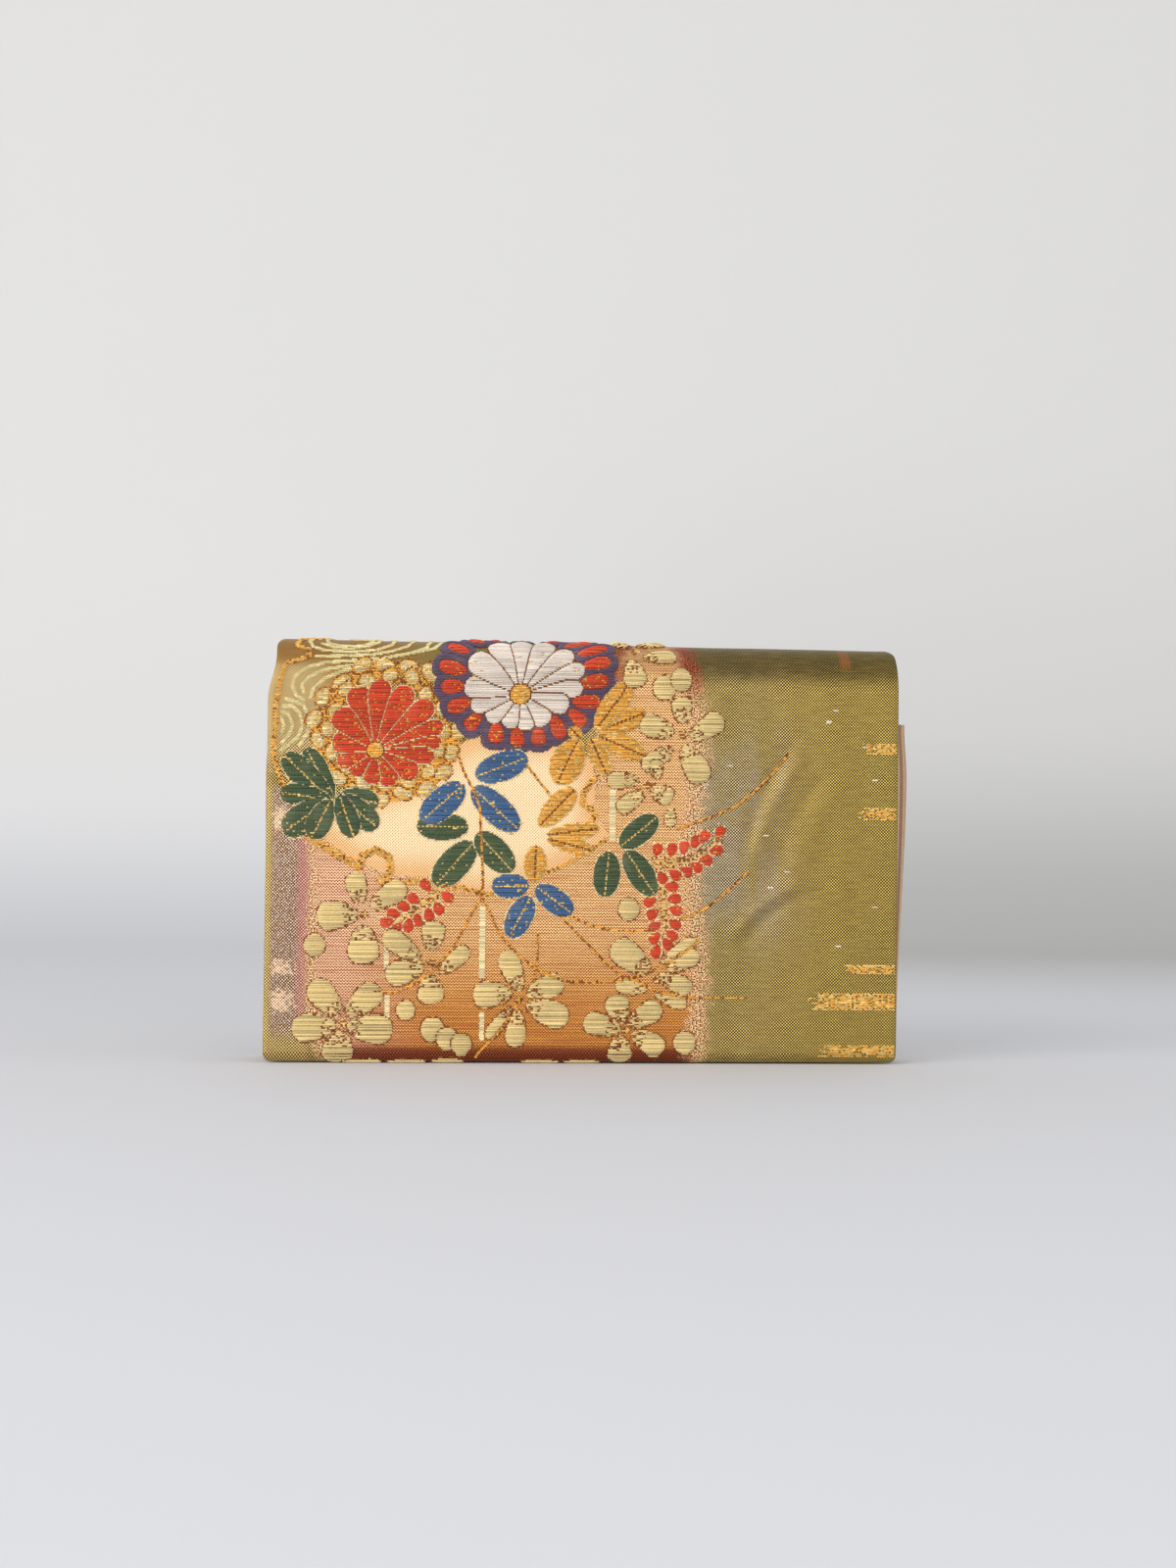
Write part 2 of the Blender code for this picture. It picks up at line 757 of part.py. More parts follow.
def petal(root, tip, width, points=PETAL_POINTS, taper=0.65):
    """A drop outline, narrow at its root and round at its tip."""
    along = Vector(tip) - Vector(root)
    side = Vector((-along.y, along.x)).normalized() * width / 2
    outline = []
    for i in range(points):
        angle = 2 * math.pi * i / points
        share = (1 - math.cos(angle)) / 2
        swell = math.sin(angle) * (1 - taper + taper * share)
        spot = Vector(root) + along * share + side * swell
        outline.append((spot.x, spot.y))
    return outline


def leaf(root, tip, width):
    """A leaf outline, as wide near its root as near its tip."""
    return petal(root, tip, width, taper=0.0)


def disc(centre, radius, points=PETAL_POINTS):
    """A round outline."""
    outline = []
    for i in range(points):
        angle = 2 * math.pi * i / points
        outline.append(
            (centre[0] + radius * math.cos(angle), centre[1] + radius * math.sin(angle))
        )
    return outline


def scallops(centre, radii, lobes, depth, points=4):
    """An oval outline with round lobes."""
    outline = []
    for i in range(lobes * points):
        angle = 2 * math.pi * i / (lobes * points)
        swell = 1 - depth * (1 - abs(math.sin(lobes * angle / 2)))
        outline.append(
            (
                centre[0] + radii[0] * swell * math.cos(angle),
                centre[1] + radii[1] * swell * math.sin(angle),
            )
        )
    return outline


def ribbon(route, width):
    """Strips of even width from point to point of a route, each running on into the next."""
    strips = []
    for start, end in zip(route, route[1:]):
        start, end = Vector(start), Vector(end)
        along = (end - start).normalized() * width / 2
        side = Vector((-along.y, along.x))
        near, far = start - along * 0.6, end + along * 0.6
        strips.append([tuple(p) for p in (near + side, near - side, far - side, far + side)])
    return strips


def spiral(centre, radii, turns, start=0.0, steps=10):
    """A route that winds out from a centre to an oval."""
    route = []
    for i in range(int(turns * steps) + 1):
        share = (i + 3) / (turns * steps + 3)
        angle = start + 2 * math.pi * i / steps
        route.append(
            (
                centre[0] + radii[0] * share * math.cos(angle),
                centre[1] + radii[1] * share * math.sin(angle),
            )
        )
    return route


def rounded(outline):
    """A field's outline with its corners cut once, for a soft edge."""
    found = []
    for (ax, ay), (bx, by) in zip(outline, outline[1:] + outline[:1]):
        found.append((0.75 * ax + 0.25 * bx, 0.75 * ay + 0.25 * by))
        found.append((0.25 * ax + 0.75 * bx, 0.25 * ay + 0.75 * by))
    return found


def bar(left, right, low, high):
    """A straight woven bar."""
    return [(left, low), (right, low), (right, high), (left, high)]


def blossom(heart, petals, width=10.5):
    """A plum blossom: a petal towards each given petal middle, and its heart."""
    outlines = [disc(heart, 2.6)]
    for middle in petals:
        tip = Vector(heart) + (Vector(middle) - Vector(heart)) * 1.5
        outlines.append(petal(heart, tip, width, taper=0.45))
    return outlines


def spray(stem, drops, size=3.0):
    """Small drops in pairs along a stem."""
    outlines = ribbon(stem, 0.9)
    for root, tip in drops:
        outlines.append(petal(root, tip, size, DROP_POINTS))
    return outlines


def paired_drops(stem, reach, step=4.4):
    """Drops to both sides of a stem, leaning towards its end."""
    drops = []
    for start, end in zip(stem, stem[1:]):
        start, end = Vector(start), Vector(end)
        along = (end - start).normalized()
        side = Vector((-along.y, along.x))
        count = max(1, round((end - start).length / step))
        for i in range(count):
            root = start + (end - start) * (i + 0.5) / count
            for way in (1, -1):
                tip = root + side * reach * way + along * reach * 0.6
                drops.append(((root.x, root.y), (tip.x, tip.y)))
    drops.append((tuple(stem[-1]), tuple(Vector(stem[-1]) + along * reach)))
    return drops


def weave_fields(weaver):
    """The areas of ground colour behind the flowers."""
    right_bars = (
        bar(210, 219, 109, 113),
        bar(207, 219, 85, 89),
        bar(201, 219, 32, 35),
        bar(190, 219, 19, 25),
        bar(195, 219, 4, 7),
        bar(218.2, 219, 4, 113),
    )
    weaver.weave("edge_bars_right", list(right_bars), 0, "pale gold thread")
    left_bars = (
        bar(1, 9, 78, 85),
        bar(1, 11, 28, 33),
        bar(1, 13, 18, 24),
        bar(1, 1.8, 18, 85),
    )
    weaver.weave("edge_bars_left", list(left_bars), 0, "pale gold thread")
    cream = rounded(
        [
            (20, 80), (34, 90), (50, 100), (64, 111), (80, 107), (98, 112), (112, 112),
            (117, 98), (112, 86), (116, 74), (104, 64), (90, 63), (77, 58), (66, 64),
            (54, 61), (44, 66), (36, 74), (27, 76),
        ]
    )  # fmt: skip
    weaver.weave("cream_field", [cream], 0, "cream thread")
    plum = rounded(
        [(2.6, 35), (12, 35), (15, 44), (16, 60), (15, 74), (9, 76), (2.6, 76)]
    )
    weaver.weave("plum_field", [plum], 0, "plum thread")
    copper = rounded(
        [
            (16, 79), (17, 60), (17, 40), (15, 22), (16, 6), (50, 3), (100, 3), (145, 3),
            (150, 20), (146, 40), (150, 62), (154, 78), (146, 94), (134, 126), (124, 112),
            (118, 90), (80, 66), (40, 66),
        ]
    )  # fmt: skip
    weaver.weave("copper_field", [copper], 0, "copper thread")
    upper = ribbon(spiral((34, 143.5), (22, 7.5), 2.0), 1.2)
    weaver.weave("water_swirl_upper", upper, 0, "water thread")
    lower = ribbon(spiral((13, 120), (9, 12), 2.0, 1.5), 1.2)
    weaver.weave("water_swirl_lower", lower, 0, "water thread")


def weave_white_chrysanthemum(weaver):
    """The large white flower, whose dark rim and red drops run on over the fold."""
    heart = (86, 128)
    tips = (
        (78, 148), (87, 150), (96, 149), (104, 144), (108, 138), (108, 130), (103, 123),
        (96, 118), (89, 115), (82, 116), (74, 119), (68, 124), (65, 131), (69, 140),
    )  # fmt: skip
    rim = scallops((88, 136), (32, 30), 19, 0.10)
    drops = scallops((88, 135), (26.5, 26.5), 19, 0.12)
    weaver.weave("white_mum_heart", [disc(heart, 3.6, 12)], 1, "gold thread")
    white = [petal(heart, tip, 9.0) for tip in tips]
    weaver.weave("white_mum_petals", white, 1, "white thread")
    weaver.weave("white_mum_drops", [drops], 1, "red thread")
    weaver.weave("white_mum_rim", [rim], 1, "plum thread")
    weaver.weave("drops_over_fold", [drops], 1, "red thread", behind=True)
    weaver.weave("rim_over_fold", [rim], 1, "plum thread", behind=True)


def weave_red_chrysanthemum(weaver):
    """The red flower inside its ring of gold petals."""
    heart = (37, 108)
    tips = (
        (30, 127), (39, 130), (48, 127), (55, 122), (58, 114), (56, 105), (48, 99),
        (41, 96), (34, 97), (28, 99), (24, 103), (23, 110), (24, 119),
    )  # fmt: skip
    weaver.weave("red_mum_heart", [disc(heart, 3.0, 12)], 1, "gold thread")
    red = [petal(heart, tip, 8.0) for tip in tips]
    weaver.weave("red_mum_petals", red, 1, "red thread")
    ring = scallops((40, 114), (27, 26), 17, 0.12)
    weaver.weave("red_mum_ring", [ring], 1, "gold thread")


def weave_leaves(weaver):
    """The leaf sprigs: ivy, blue, green and gold."""
    ivy_root = (22, 91)
    ivy = [
        leaf(ivy_root, tip, width)
        for tip, width in (((7, 106), 11), ((5, 80), 14), ((21, 76), 10), ((38, 84), 12))
    ]
    weaver.weave("ivy_leaf", ivy, 1, "green thread")
    sprigs = (
        ("blue_sprig_upper", (69, 96), ((88, 106), (54, 83), (85, 81)), 10.5, "blue thread"),
        ("blue_sprig_lower", (92, 60), ((78, 62), (84, 44), (104, 51)), 8.5, "blue thread"),
        ("green_sprig_left", (71, 79), ((51, 79), (84, 67), (57, 61)), 10.0, "green thread"),
        ("green_sprig_right", (121, 74), ((133, 86), (116, 57), (133, 58)), 8.5, "green thread"),
        ("gold_sprig_lower", (99, 79), ((108, 99), (92, 61), (117, 76)), 9.5, "gold thread"),
        ("gold_sprig_upper", (113, 106), ((122, 130), (134, 109), (96, 108)), 11.0, "gold thread"),
    )
    for name, root, tips, width, finish in sprigs:
        outlines = [disc(root, 1.2, 6)] + [leaf(root, tip, width) for tip in tips]
        weaver.weave(name, outlines, 1, finish)


def weave_sprays(weaver):
    """The two sprays of small red drops."""
    upper = ((136, 71), (146, 72), (157, 78))
    lower = ((136, 71), (139, 58), (137, 42))
    right = spray(upper, paired_drops(upper, 4.2)) + spray(lower, paired_drops(lower, 4.2))
    weaver.weave("red_spray_right", right, 1, "red thread")
    stem = ((62, 57), (52, 52), (43, 48))
    weaver.weave("red_spray_left", spray(stem, paired_drops(stem, 4.4)), 1, "red thread")


def weave_blossoms(weaver):
    """The straw-coloured plum blossoms and their buds."""
    flowers = (
        ((143, 114), ((143, 123), (134, 117), (152, 118), (148, 105), (137, 108))),
        ((126, 144), ((122, 148), (131, 148), (134, 143), (127, 137), (121, 142))),
        ((129, 97), ((122, 98), (131, 103), (127, 92), (135, 94))),
        ((34, 49), ((31, 59), (24, 50), (33, 41), (41, 54))),
        ((55, 34), ((48, 40), (57, 43), (48, 30), (56, 26), (64, 36))),
        ((26, 14), ((20, 22), (34, 21), (18, 11), (36, 11), (26, 6))),
        ((89, 21), ((84, 31), (78, 23), (96, 27), (97, 16), (87, 12))),
        ((136, 30), ((127, 37), (145, 36), (128, 25), (143, 27), (138, 21))),
        ((124, 12), ((120, 18), (131, 15), (116, 12), (131, 8), (121, 6))),
    )
    for number, (heart, petals) in enumerate(flowers, 1):
        weaver.weave(f"plum_blossom_{number}", blossom(heart, petals), 1, "straw thread")
    trio = [disc(spot, 3.6) for spot in ((57, 11), (62, 8), (67, 7))]
    weaver.weave("plum_bud_trio", trio, 1, "straw thread")
    pair = [disc(spot, 3.6) for spot in ((138, 131), (143, 134))]
    weaver.weave("plum_bud_pair", pair, 1, "straw thread")
    buds = ((125, 53), (145, 8), (17, 40))
    for number, spot in enumerate(buds, 1):
        weaver.weave(f"plum_bud_{number}", [disc(spot, 3.2)], 1, "straw thread")


def weave_stems(weaver):
    """The thin gold stems that trail over the ground."""
    routes = {
        "gold_stem_upper": [((138, 81), (150, 84), (165, 91), (175, 101), (181, 110))],
        "gold_stem_middle": [((142, 47), (150, 52), (160, 59), (167, 67))],
        "gold_stem_lower": [
            ((103, 51), (123, 31), (136, 24), (166, 23)),
            ((103, 51), (117, 47), (133, 46)),
            ((101, 28), (123, 28), (137, 32), (149, 41)),
        ],
        "gold_stem_middle_left": [
            ((74, 70), (74, 54), (67, 42), (59, 31), (40, 27)),
            ((74, 54), (80, 44), (88, 35), (91, 24)),
        ],
    }
    for name, lines in routes.items():
        strips = [strip for line in lines for strip in ribbon(line, 0.8)]
        weaver.weave(name, strips, 2, "gold thread")


def stand_on_footprint(bag):
    """Moves the bag so that the middle of its footprint is the origin."""
    bpy.context.view_layer.update()
    xs, ys = [], []
    for made in bpy.context.scene.objects:
        if made.type == "MESH" and not made.hide_render:
            for vertex in made.data.vertices:
                point = made.matrix_world @ vertex.co
                xs.append(point.x)
                ys.append(point.y)
    bag.body.location = (-(min(xs) + max(xs)) / 2, -(min(ys) + max(ys)) / 2, 0)
    bpy.context.view_layer.update()


def main():
    """Builds the whole bag in an empty scene."""
    for made in list(bpy.data.objects):
        bpy.data.objects.remove(made, do_unlink=True)
    bag = Bag()
    body_cover(bag)
    body_lining(bag)
    flap_cover(bag)
    flap_lining(bag)
    boards(bag)
    gusset(bag, "left_gusset", -1, LEFT_BULGE)
    gusset(bag, "right_gusset", 1, RIGHT_BULGE)
    slip_pocket(bag)
    snap(bag)
    weaver = Weaver(bag)
    weave_fields(weaver)
    weave_white_chrysanthemum(weaver)
    weave_red_chrysanthemum(weaver)
    weave_leaves(weaver)
    weave_sprays(weaver)
    weave_blossoms(weaver)
    weave_stems(weaver)
    stand_on_footprint(bag)


main()
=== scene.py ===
"""Looks for a brocade clutch bag: woven cloth, raised silk flowers, satin lining and snap.

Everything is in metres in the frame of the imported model, whose face looks towards -Y. Places on
the cloth are given as on a weaver's draft: millimetres across from the left edge of the face, and
up along the cloth from the foot of the flap, over the fold and down the back.
"""

import logging
import math
from collections.abc import Sequence
from dataclasses import dataclass, field
from enum import Enum, IntEnum
from functools import cache

import bmesh
import bpy
import numpy as np
from mathutils import Matrix, Vector

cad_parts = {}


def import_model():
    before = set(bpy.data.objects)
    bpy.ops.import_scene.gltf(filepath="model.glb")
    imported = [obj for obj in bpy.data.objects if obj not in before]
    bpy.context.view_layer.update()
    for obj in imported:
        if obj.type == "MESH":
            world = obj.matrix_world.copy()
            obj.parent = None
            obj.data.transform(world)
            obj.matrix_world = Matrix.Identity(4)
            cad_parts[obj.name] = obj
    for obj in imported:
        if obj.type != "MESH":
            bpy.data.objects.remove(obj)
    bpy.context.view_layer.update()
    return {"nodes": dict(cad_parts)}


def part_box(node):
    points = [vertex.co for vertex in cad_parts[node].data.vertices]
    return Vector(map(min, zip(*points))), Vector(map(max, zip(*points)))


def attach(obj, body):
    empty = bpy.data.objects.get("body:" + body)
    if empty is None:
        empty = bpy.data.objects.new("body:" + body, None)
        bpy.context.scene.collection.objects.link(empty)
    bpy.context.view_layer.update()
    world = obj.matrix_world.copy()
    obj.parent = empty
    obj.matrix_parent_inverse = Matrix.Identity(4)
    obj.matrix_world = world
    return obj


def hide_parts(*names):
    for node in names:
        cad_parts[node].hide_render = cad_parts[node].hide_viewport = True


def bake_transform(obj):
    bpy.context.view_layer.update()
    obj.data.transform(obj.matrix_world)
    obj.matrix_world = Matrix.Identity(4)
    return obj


LOG = logging.getLogger("clutch bag")
MM = 0.001
DRAFT_WIDTH = 220
DRAFT_RIDGE = 153.6
BLEND_BEHIND, BLEND_AHEAD = 0.0112, -0.0104
BLEND_MARGIN = 0.002
Place = tuple[float, float]
Extent = tuple[float, float, float, float]
Route = Sequence[Place]
Measure = tuple[np.ndarray, np.ndarray, np.ndarray]


def dye(*shown: float) -> tuple[float, ...]:
    """A linear colour from the red, green and blue that a screen shows, up to 255."""
    parts = [c / 255 for c in shown]
    return (*(c / 12.92 if c < 0.04045 else ((c + 0.055) / 1.055) ** 2.4 for c in parts), 1.0)


class Signal:
    """A value in a shader, which takes part in Python arithmetic."""

    def __init__(self, shader: "Shader", socket: bpy.types.NodeSocket) -> None:
        """Wraps an output socket of a shader's tree."""
        self.shader = shader
        self.socket = socket

    def math(self, operation: str, *others: "Signal | float") -> "Signal":
        """Adds a Math node.

        Args:
            operation: The node's operation.
            others: Its inputs after this signal.

        Returns:
            The node's result.
        """
        inputs = dict(enumerate((self, *others)))
        return self.shader.node("ShaderNodeMath", {"operation": operation}, inputs)

    def __add__(self, other: "Signal | float") -> "Signal":
        """The sum."""
        return self.math("ADD", other)

    __radd__ = __add__

    def __mul__(self, other: "Signal | float") -> "Signal":
        """The product."""
        return self.math("MULTIPLY", other)

    __rmul__ = __mul__

    def __sub__(self, other: "Signal | float") -> "Signal":
        """The difference."""
        return self.math("SUBTRACT", other)

    def __rsub__(self, other: float) -> "Signal":
        """The difference from a number."""
        return (self * -1.0) + other

    def step(self, low: float, high: float) -> "Signal":
        """A smooth change from 0 at low to 1 at high."""
        inputs = {0: self, 1: low, 2: high}
        return self.shader.node("ShaderNodeMapRange", {"interpolation_type": "SMOOTHSTEP"}, inputs)


class Shader:
    """A material under construction."""

    def __init__(self, name: str) -> None:
        """Starts a material with a Principled surface.

        Args:
            name: The material's name.
        """
        self.material = bpy.data.materials.new(name)
        self.material.use_nodes = True
        self.tree = self.material.node_tree
        self.surface = self.tree.nodes["Principled BSDF"]

    def node(self, kind: str, settings: dict, inputs: dict, output: int = 0) -> Signal:
        """Adds any node.

        Args:
            kind: The node's type.
            settings: Its own settings, set before its sockets.
            inputs: Values or signals for its input sockets, by number or name.
            output: The number of the output socket that is wanted.

        Returns:
            The output as a signal.
        """
        made = self.tree.nodes.new(kind)
        for key, value in settings.items():
            setattr(made, key, value)
        for key, value in inputs.items():
            if isinstance(value, Signal):
                self.tree.links.new(value.socket, made.inputs[key])
            else:
                made.inputs[key].default_value = value
        return Signal(self, made.outputs[output])

    def attribute(self, name: str, output: int = 2) -> Signal:
        """A named attribute of the mesh: output 1 is its vector and 2 its number."""
        settings = {"attribute_type": "GEOMETRY", "attribute_name": name}
        return self.node("ShaderNodeAttribute", settings, {}, output)

    def split(self, vector: Signal) -> tuple[Signal, Signal, Signal]:
        """The three parts of a vector.

        Args:
            vector: The vector.

        Returns:
            Its parts.
        """
        first = self.node("ShaderNodeSeparateXYZ", {}, {0: vector})
        outputs = first.socket.node.outputs
        return first, Signal(self, outputs[1]), Signal(self, outputs[2])

    def place(self) -> tuple[Signal, Signal, Signal]:
        """The three object coordinates, in metres."""
        return self.split(self.node("ShaderNodeTexCoord", {}, {}, 3))

    def noise(self, x: Signal, y: Signal, seed: float, detail: float = 2.0) -> Signal:
        """Even noise around 0.5 over two coordinates, one wave for about each unit."""
        vector = self.node("ShaderNodeCombineXYZ", {}, {0: x, 1: y, 2: seed})
        return self.node("ShaderNodeTexNoise", {}, {"Vector": vector, "Scale": 1.0, "Detail": detail})

    def mix(self, share: Signal | float, low: Signal | tuple, high: Signal | tuple) -> Signal:
        """A colour between two colours."""
        settings = {"data_type": "RGBA"}
        return self.node("ShaderNodeMix", settings, {0: share, 6: low, 7: high}, 2)

    def shade(self, colour: Signal, value: Signal) -> Signal:
        """A colour made brighter or darker, where a value of 1 leaves it as it is."""
        return self.node("ShaderNodeHueSaturation", {}, {"Value": value, "Color": colour})

    def finish(
        self,
        colour: Signal,
        roughness: Signal | float,
        metallic: Signal | float,
        height: Signal | None = None,
        depth: float = 0.0002,
        strength: float = 0.5,
    ) -> bpy.types.Material:
        """Joins the surface up.

        Args:
            colour: The base colour.
            roughness: The roughness.
            metallic: How metallic it is.
            height: The relief for the bump, from 0 to 1.
            depth: The relief's depth in metres.
            strength: How strongly the relief shows.

        Returns:
            The material.
        """
        inputs = {"Base Color": colour, "Roughness": roughness, "Metallic": metallic}
        if height is not None:
            relief = {"Height": height, "Distance": depth, "Strength": strength}
            inputs["Normal"] = self.node("ShaderNodeBump", {}, relief)
        for key, value in inputs.items():
            if isinstance(value, Signal):
                self.tree.links.new(value.socket, self.surface.inputs[key])
            else:
                self.surface.inputs[key].default_value = value
        return self.material

    def soft(self, weight: float, roughness: float, tint: tuple) -> None:
        """Gives the surface the sheen of fibres.

        Args:
            weight: How much sheen.
            roughness: The sheen's roughness.
            tint: Its colour.
        """
        self.surface.inputs["Sheen Weight"].default_value = weight
        self.surface.inputs["Sheen Roughness"].default_value = roughness
        self.surface.inputs["Sheen Tint"].default_value = tint


@dataclass(frozen=True)
class BrocadeFinish:
    """The woven ground: a fine checker of gilt and dark threads, with its fields of colour."""

    pitch: float = 1.05
    gilt: tuple = dye(255, 219, 124)
    olive: tuple = dye(250, 214, 106)
    lavender: tuple = dye(255, 230, 202)
    shadow: tuple = dye(14, 7, 1)
    moss: tuple = dye(18, 11, 1)
    cream: tuple = dye(247, 229, 188)
    amber: tuple = dye(214, 136, 44)
    blush: tuple = dye(255, 218, 148)
    copper: tuple = dye(148, 56, 22)
    russet: tuple = dye(62, 12, 3)
    plum: tuple = dye(34, 18, 18)
    lilac: tuple = dye(255, 228, 204)
    bronze: tuple = dye(210, 156, 82)
    foam: tuple = dye(240, 218, 156)
    peat: tuple = dye(64, 36, 12)
    honey: tuple = dye(232, 165, 74)
    petal: tuple = dye(252, 214, 186)
    rust: tuple = dye(134, 62, 22)
    brick: tuple = dye(150, 66, 34)
    ember: tuple = dye(168, 72, 32)
    tan: tuple = dye(190, 134, 76)
    rose: tuple = dye(244, 176, 160)
    wine: tuple = dye(110, 40, 40)
    toffee: tuple = dye(196, 128, 66)
    frost: tuple = dye(252, 232, 200)
    bark: tuple = dye(70, 30, 10)
    orange: tuple = dye(198, 92, 44)
    straw: tuple = dye(252, 228, 172)
    maroon: tuple = dye(60, 18, 6)
    vermilion: tuple = dye(186, 62, 30)
    slub: tuple = dye(176, 104, 50)
    reverse: tuple = dye(96, 66, 34)

    def weave(self, s: Shader) -> tuple[Signal, ...]:
        """The weave's signals.

        Args:
            s: The shader.

        Returns:
            Places across and up, the share of the inner face, the lattice, and fine noise.
        """
        x, y, inside = s.split(s.attribute("draft", 1))
        turn = 2 * math.pi / self.pitch
        grain = s.noise(x * 1.7, y * 1.7, 3.0)
        dots = (x * turn).math("COSINE") * (y * turn).math("COSINE") + (grain - 0.5) * 0.35
        return x, y, inside, dots, grain

    def gilding(self, s: Shader, x: Signal, y: Signal, dots: Signal) -> Signal:
        """The colour of the plain ground, which changes over the cloth, with painted shade over the top
        of the fold on the right.

        Args:
            s: The shader.
            x: The place across.
            y: The place up.
            dots: The lattice.

        Returns:
            The colour.
        """
        checker = dots.step(0.10, 0.36)
        streak = s.noise(x * 0.10, y * 0.02, 7.0, 3.0)
        pick = s.noise(x * 0.16, y * 1.5, 9.0, 1.0)
        patch = s.noise(x * 0.03, y * 0.03, 11.0)
        face = y.step(30.0, 60.0) * y.step(128.0, 96.0)
        middle = x.step(120.0, 152.0) * x.step(196.0, 168.0) * face
        warm = s.mix(x.step(165.0, 200.0), self.gilt, self.olive)
        gilt = s.mix(middle * streak.step(0.34, 0.62) * 0.6, warm, self.lavender)
        mossy = patch.step(0.35, 0.65) * 0.5 + x.step(150.0, 200.0) * 0.5
        shadow = s.mix(mossy, self.shadow, self.moss)
        ground = s.mix(checker, shadow, gilt)
        corner = x.step(66.0, 34.0) * y.step(96.0, 112.0)
        pale = x.step(24.0, 15.0) * y.step(139.0, 135.0) * 0.55
        spots = s.mix(pale, self.bronze, self.foam)
        ground = s.mix(corner * 0.9, ground, s.mix(dots.step(-0.20, 0.10), self.peat, spots))
        # Painted shade: the ground over the top of the fold, on the right, is darkened by up to half.
        band = y.step(130.0, 137.0) * y.step(182.0, 172.0) * x.step(112.0, 140.0)
        value = 1.00 - band * 0.50 + (streak - 0.5) * 0.25 + (pick - 0.5) * 0.75
        return s.shade(ground, value)

    def blushing(self, s: Shader, x: Signal, y: Signal, dots: Signal, grain: Signal) -> Signal:
        """The colour of the copper field, darker towards the foot, where the russet band is partly the
        cloth's colour and partly painted shade of the turn under the foot.

        Args:
            s: The shader.
            x: The place across.
            y: The place up.
            dots: The lattice.
            grain: Fine noise.

        Returns:
            The colour.
        """
        weft = s.noise(x * 0.035, y * 1.6, 19.0)
        lines = ((y * (2 * math.pi / 0.95)) + weft * 4.0).math("SINE") * 0.28 + dots
        low = y.step(52.0, 12.0)
        light = s.mix(low, self.blush, self.honey)
        light = s.mix(x.step(60.0, 24.0) * 0.6, light, self.petal)
        dark = s.mix(low, self.copper, self.rust)
        rose = s.mix((lines + (grain - 0.5) * 0.6).step(-0.28, 0.24), dark, light)
        bar = (weft + y.step(30.0, 0.0) * 0.10).step(0.54, 0.66)
        rose = s.mix(bar * 0.5, rose, self.brick)
        # The russet foot band is partly the cloth's own darker colour and partly painted shade where
        # the cloth turns under at the foot.
        foot = s.mix(dots.step(0.05, 0.55), self.russet, self.ember)
        rose = s.shade(rose, 1.0 + (weft - 0.5) * 0.5)
        return s.mix((y + (grain - 0.5) * 3.0).step(7.5, 4.0) * 0.92, rose, foot)

    def strip(self, s: Shader, x: Signal, y: Signal, dots: Signal, spark: Signal) -> Signal:
        """The colour of the dark strip down the left side, with pale bands painted on as highlights.

        Args:
            s: The shader.
            x: The place across.
            y: The place up.
            dots: The lattice.
            spark: Noise for flecks.

        Returns:
            The colour.
        """
        light = s.mix(spark.step(0.44, 0.56), self.tan, self.lilac)
        light = s.mix(x.step(9.0, 13.5) * 0.7, light, self.rose)
        dark = s.mix(x.step(9.0, 13.5), self.plum, self.wine)
        strip = s.mix(dots.step(-0.06, 0.18), dark, light)
        frost = s.noise(x * 0.7, y * 1.1, 31.0)
        # Painted highlights: pale bands of lattice where the metal threads catch the light, broken up
        # by noise.
        bands = y.step(76.0, 82.0) * y.step(91.0, 84.0) + y.step(28.0, 31.5) * y.step(38.0, 33.0)
        bands = bands + y.step(14.0, 20.0) * y.step(29.0, 22.0)
        painted_glint = bands * x.step(16.0, 5.0) * x.step(0.0, 4.0) + (frost - 0.5) * 2.6
        bright = s.mix(dots.step(-0.4, 0.2), self.toffee, self.frost)
        strip = s.mix(painted_glint.step(0.40, 1.10) * 0.9, strip, bright)
        gold = s.mix(dots.step(-0.1, 0.3), self.shadow, self.gilt)
        return s.mix((x.step(3.0, 1.2) + y.step(14.0, 5.0)).math("MINIMUM", 1.0) * 0.85, strip, gold)

    def material(self) -> bpy.types.Material:
        """Builds the finish on the attributes that the cloth carries.

        Returns:
            The material.
        """
        s = Shader("woven brocade")
        x, y, inside, dots, grain = self.weave(s)
        cream, copper, plum = (s.attribute(n) for n in ("cream", "copper", "plum"))
        checker = dots.step(-0.22, 0.22)
        ground = self.gilding(s, x, y, dots)
        edge = copper + (s.noise(x * 0.25, y * 0.25, 23.0) - 0.5) * 9.0
        ground = s.mix(edge.step(-0.6, 0.6), ground, self.blushing(s, x, y, dots, grain))
        spark = s.noise(x * 2.1, y * 2.1, 29.0, 0.0)
        flecks = s.mix(spark.step(0.40, 0.46), self.bark, self.orange)
        flecks = s.mix(spark.step(0.50, 0.56), flecks, self.straw)
        reds = s.mix(spark.step(0.4, 0.6), self.maroon, self.vermilion)
        flecks = s.mix(y.step(122.0, 136.0) * 0.9, flecks, reds)
        rim = edge.step(-7.0, -1.5) * edge.step(5.0, 0.5)
        ground = s.mix(rim * 0.85, ground, flecks)

        bold = 0.34 - cream.step(12.0, 0.0) * 0.5
        hatch = (dots - bold).step(-0.14, 0.16)
        light = s.mix(hatch, self.cream, self.amber)
        ground = s.mix((cream + (grain - 0.5) * 1.6).step(-0.25, 0.25), ground, light)

        edge = plum + (grain - 0.5) * 5.0
        ground = s.mix(edge.step(-1.5, 1.5), ground, self.strip(s, x, y, dots, spark))

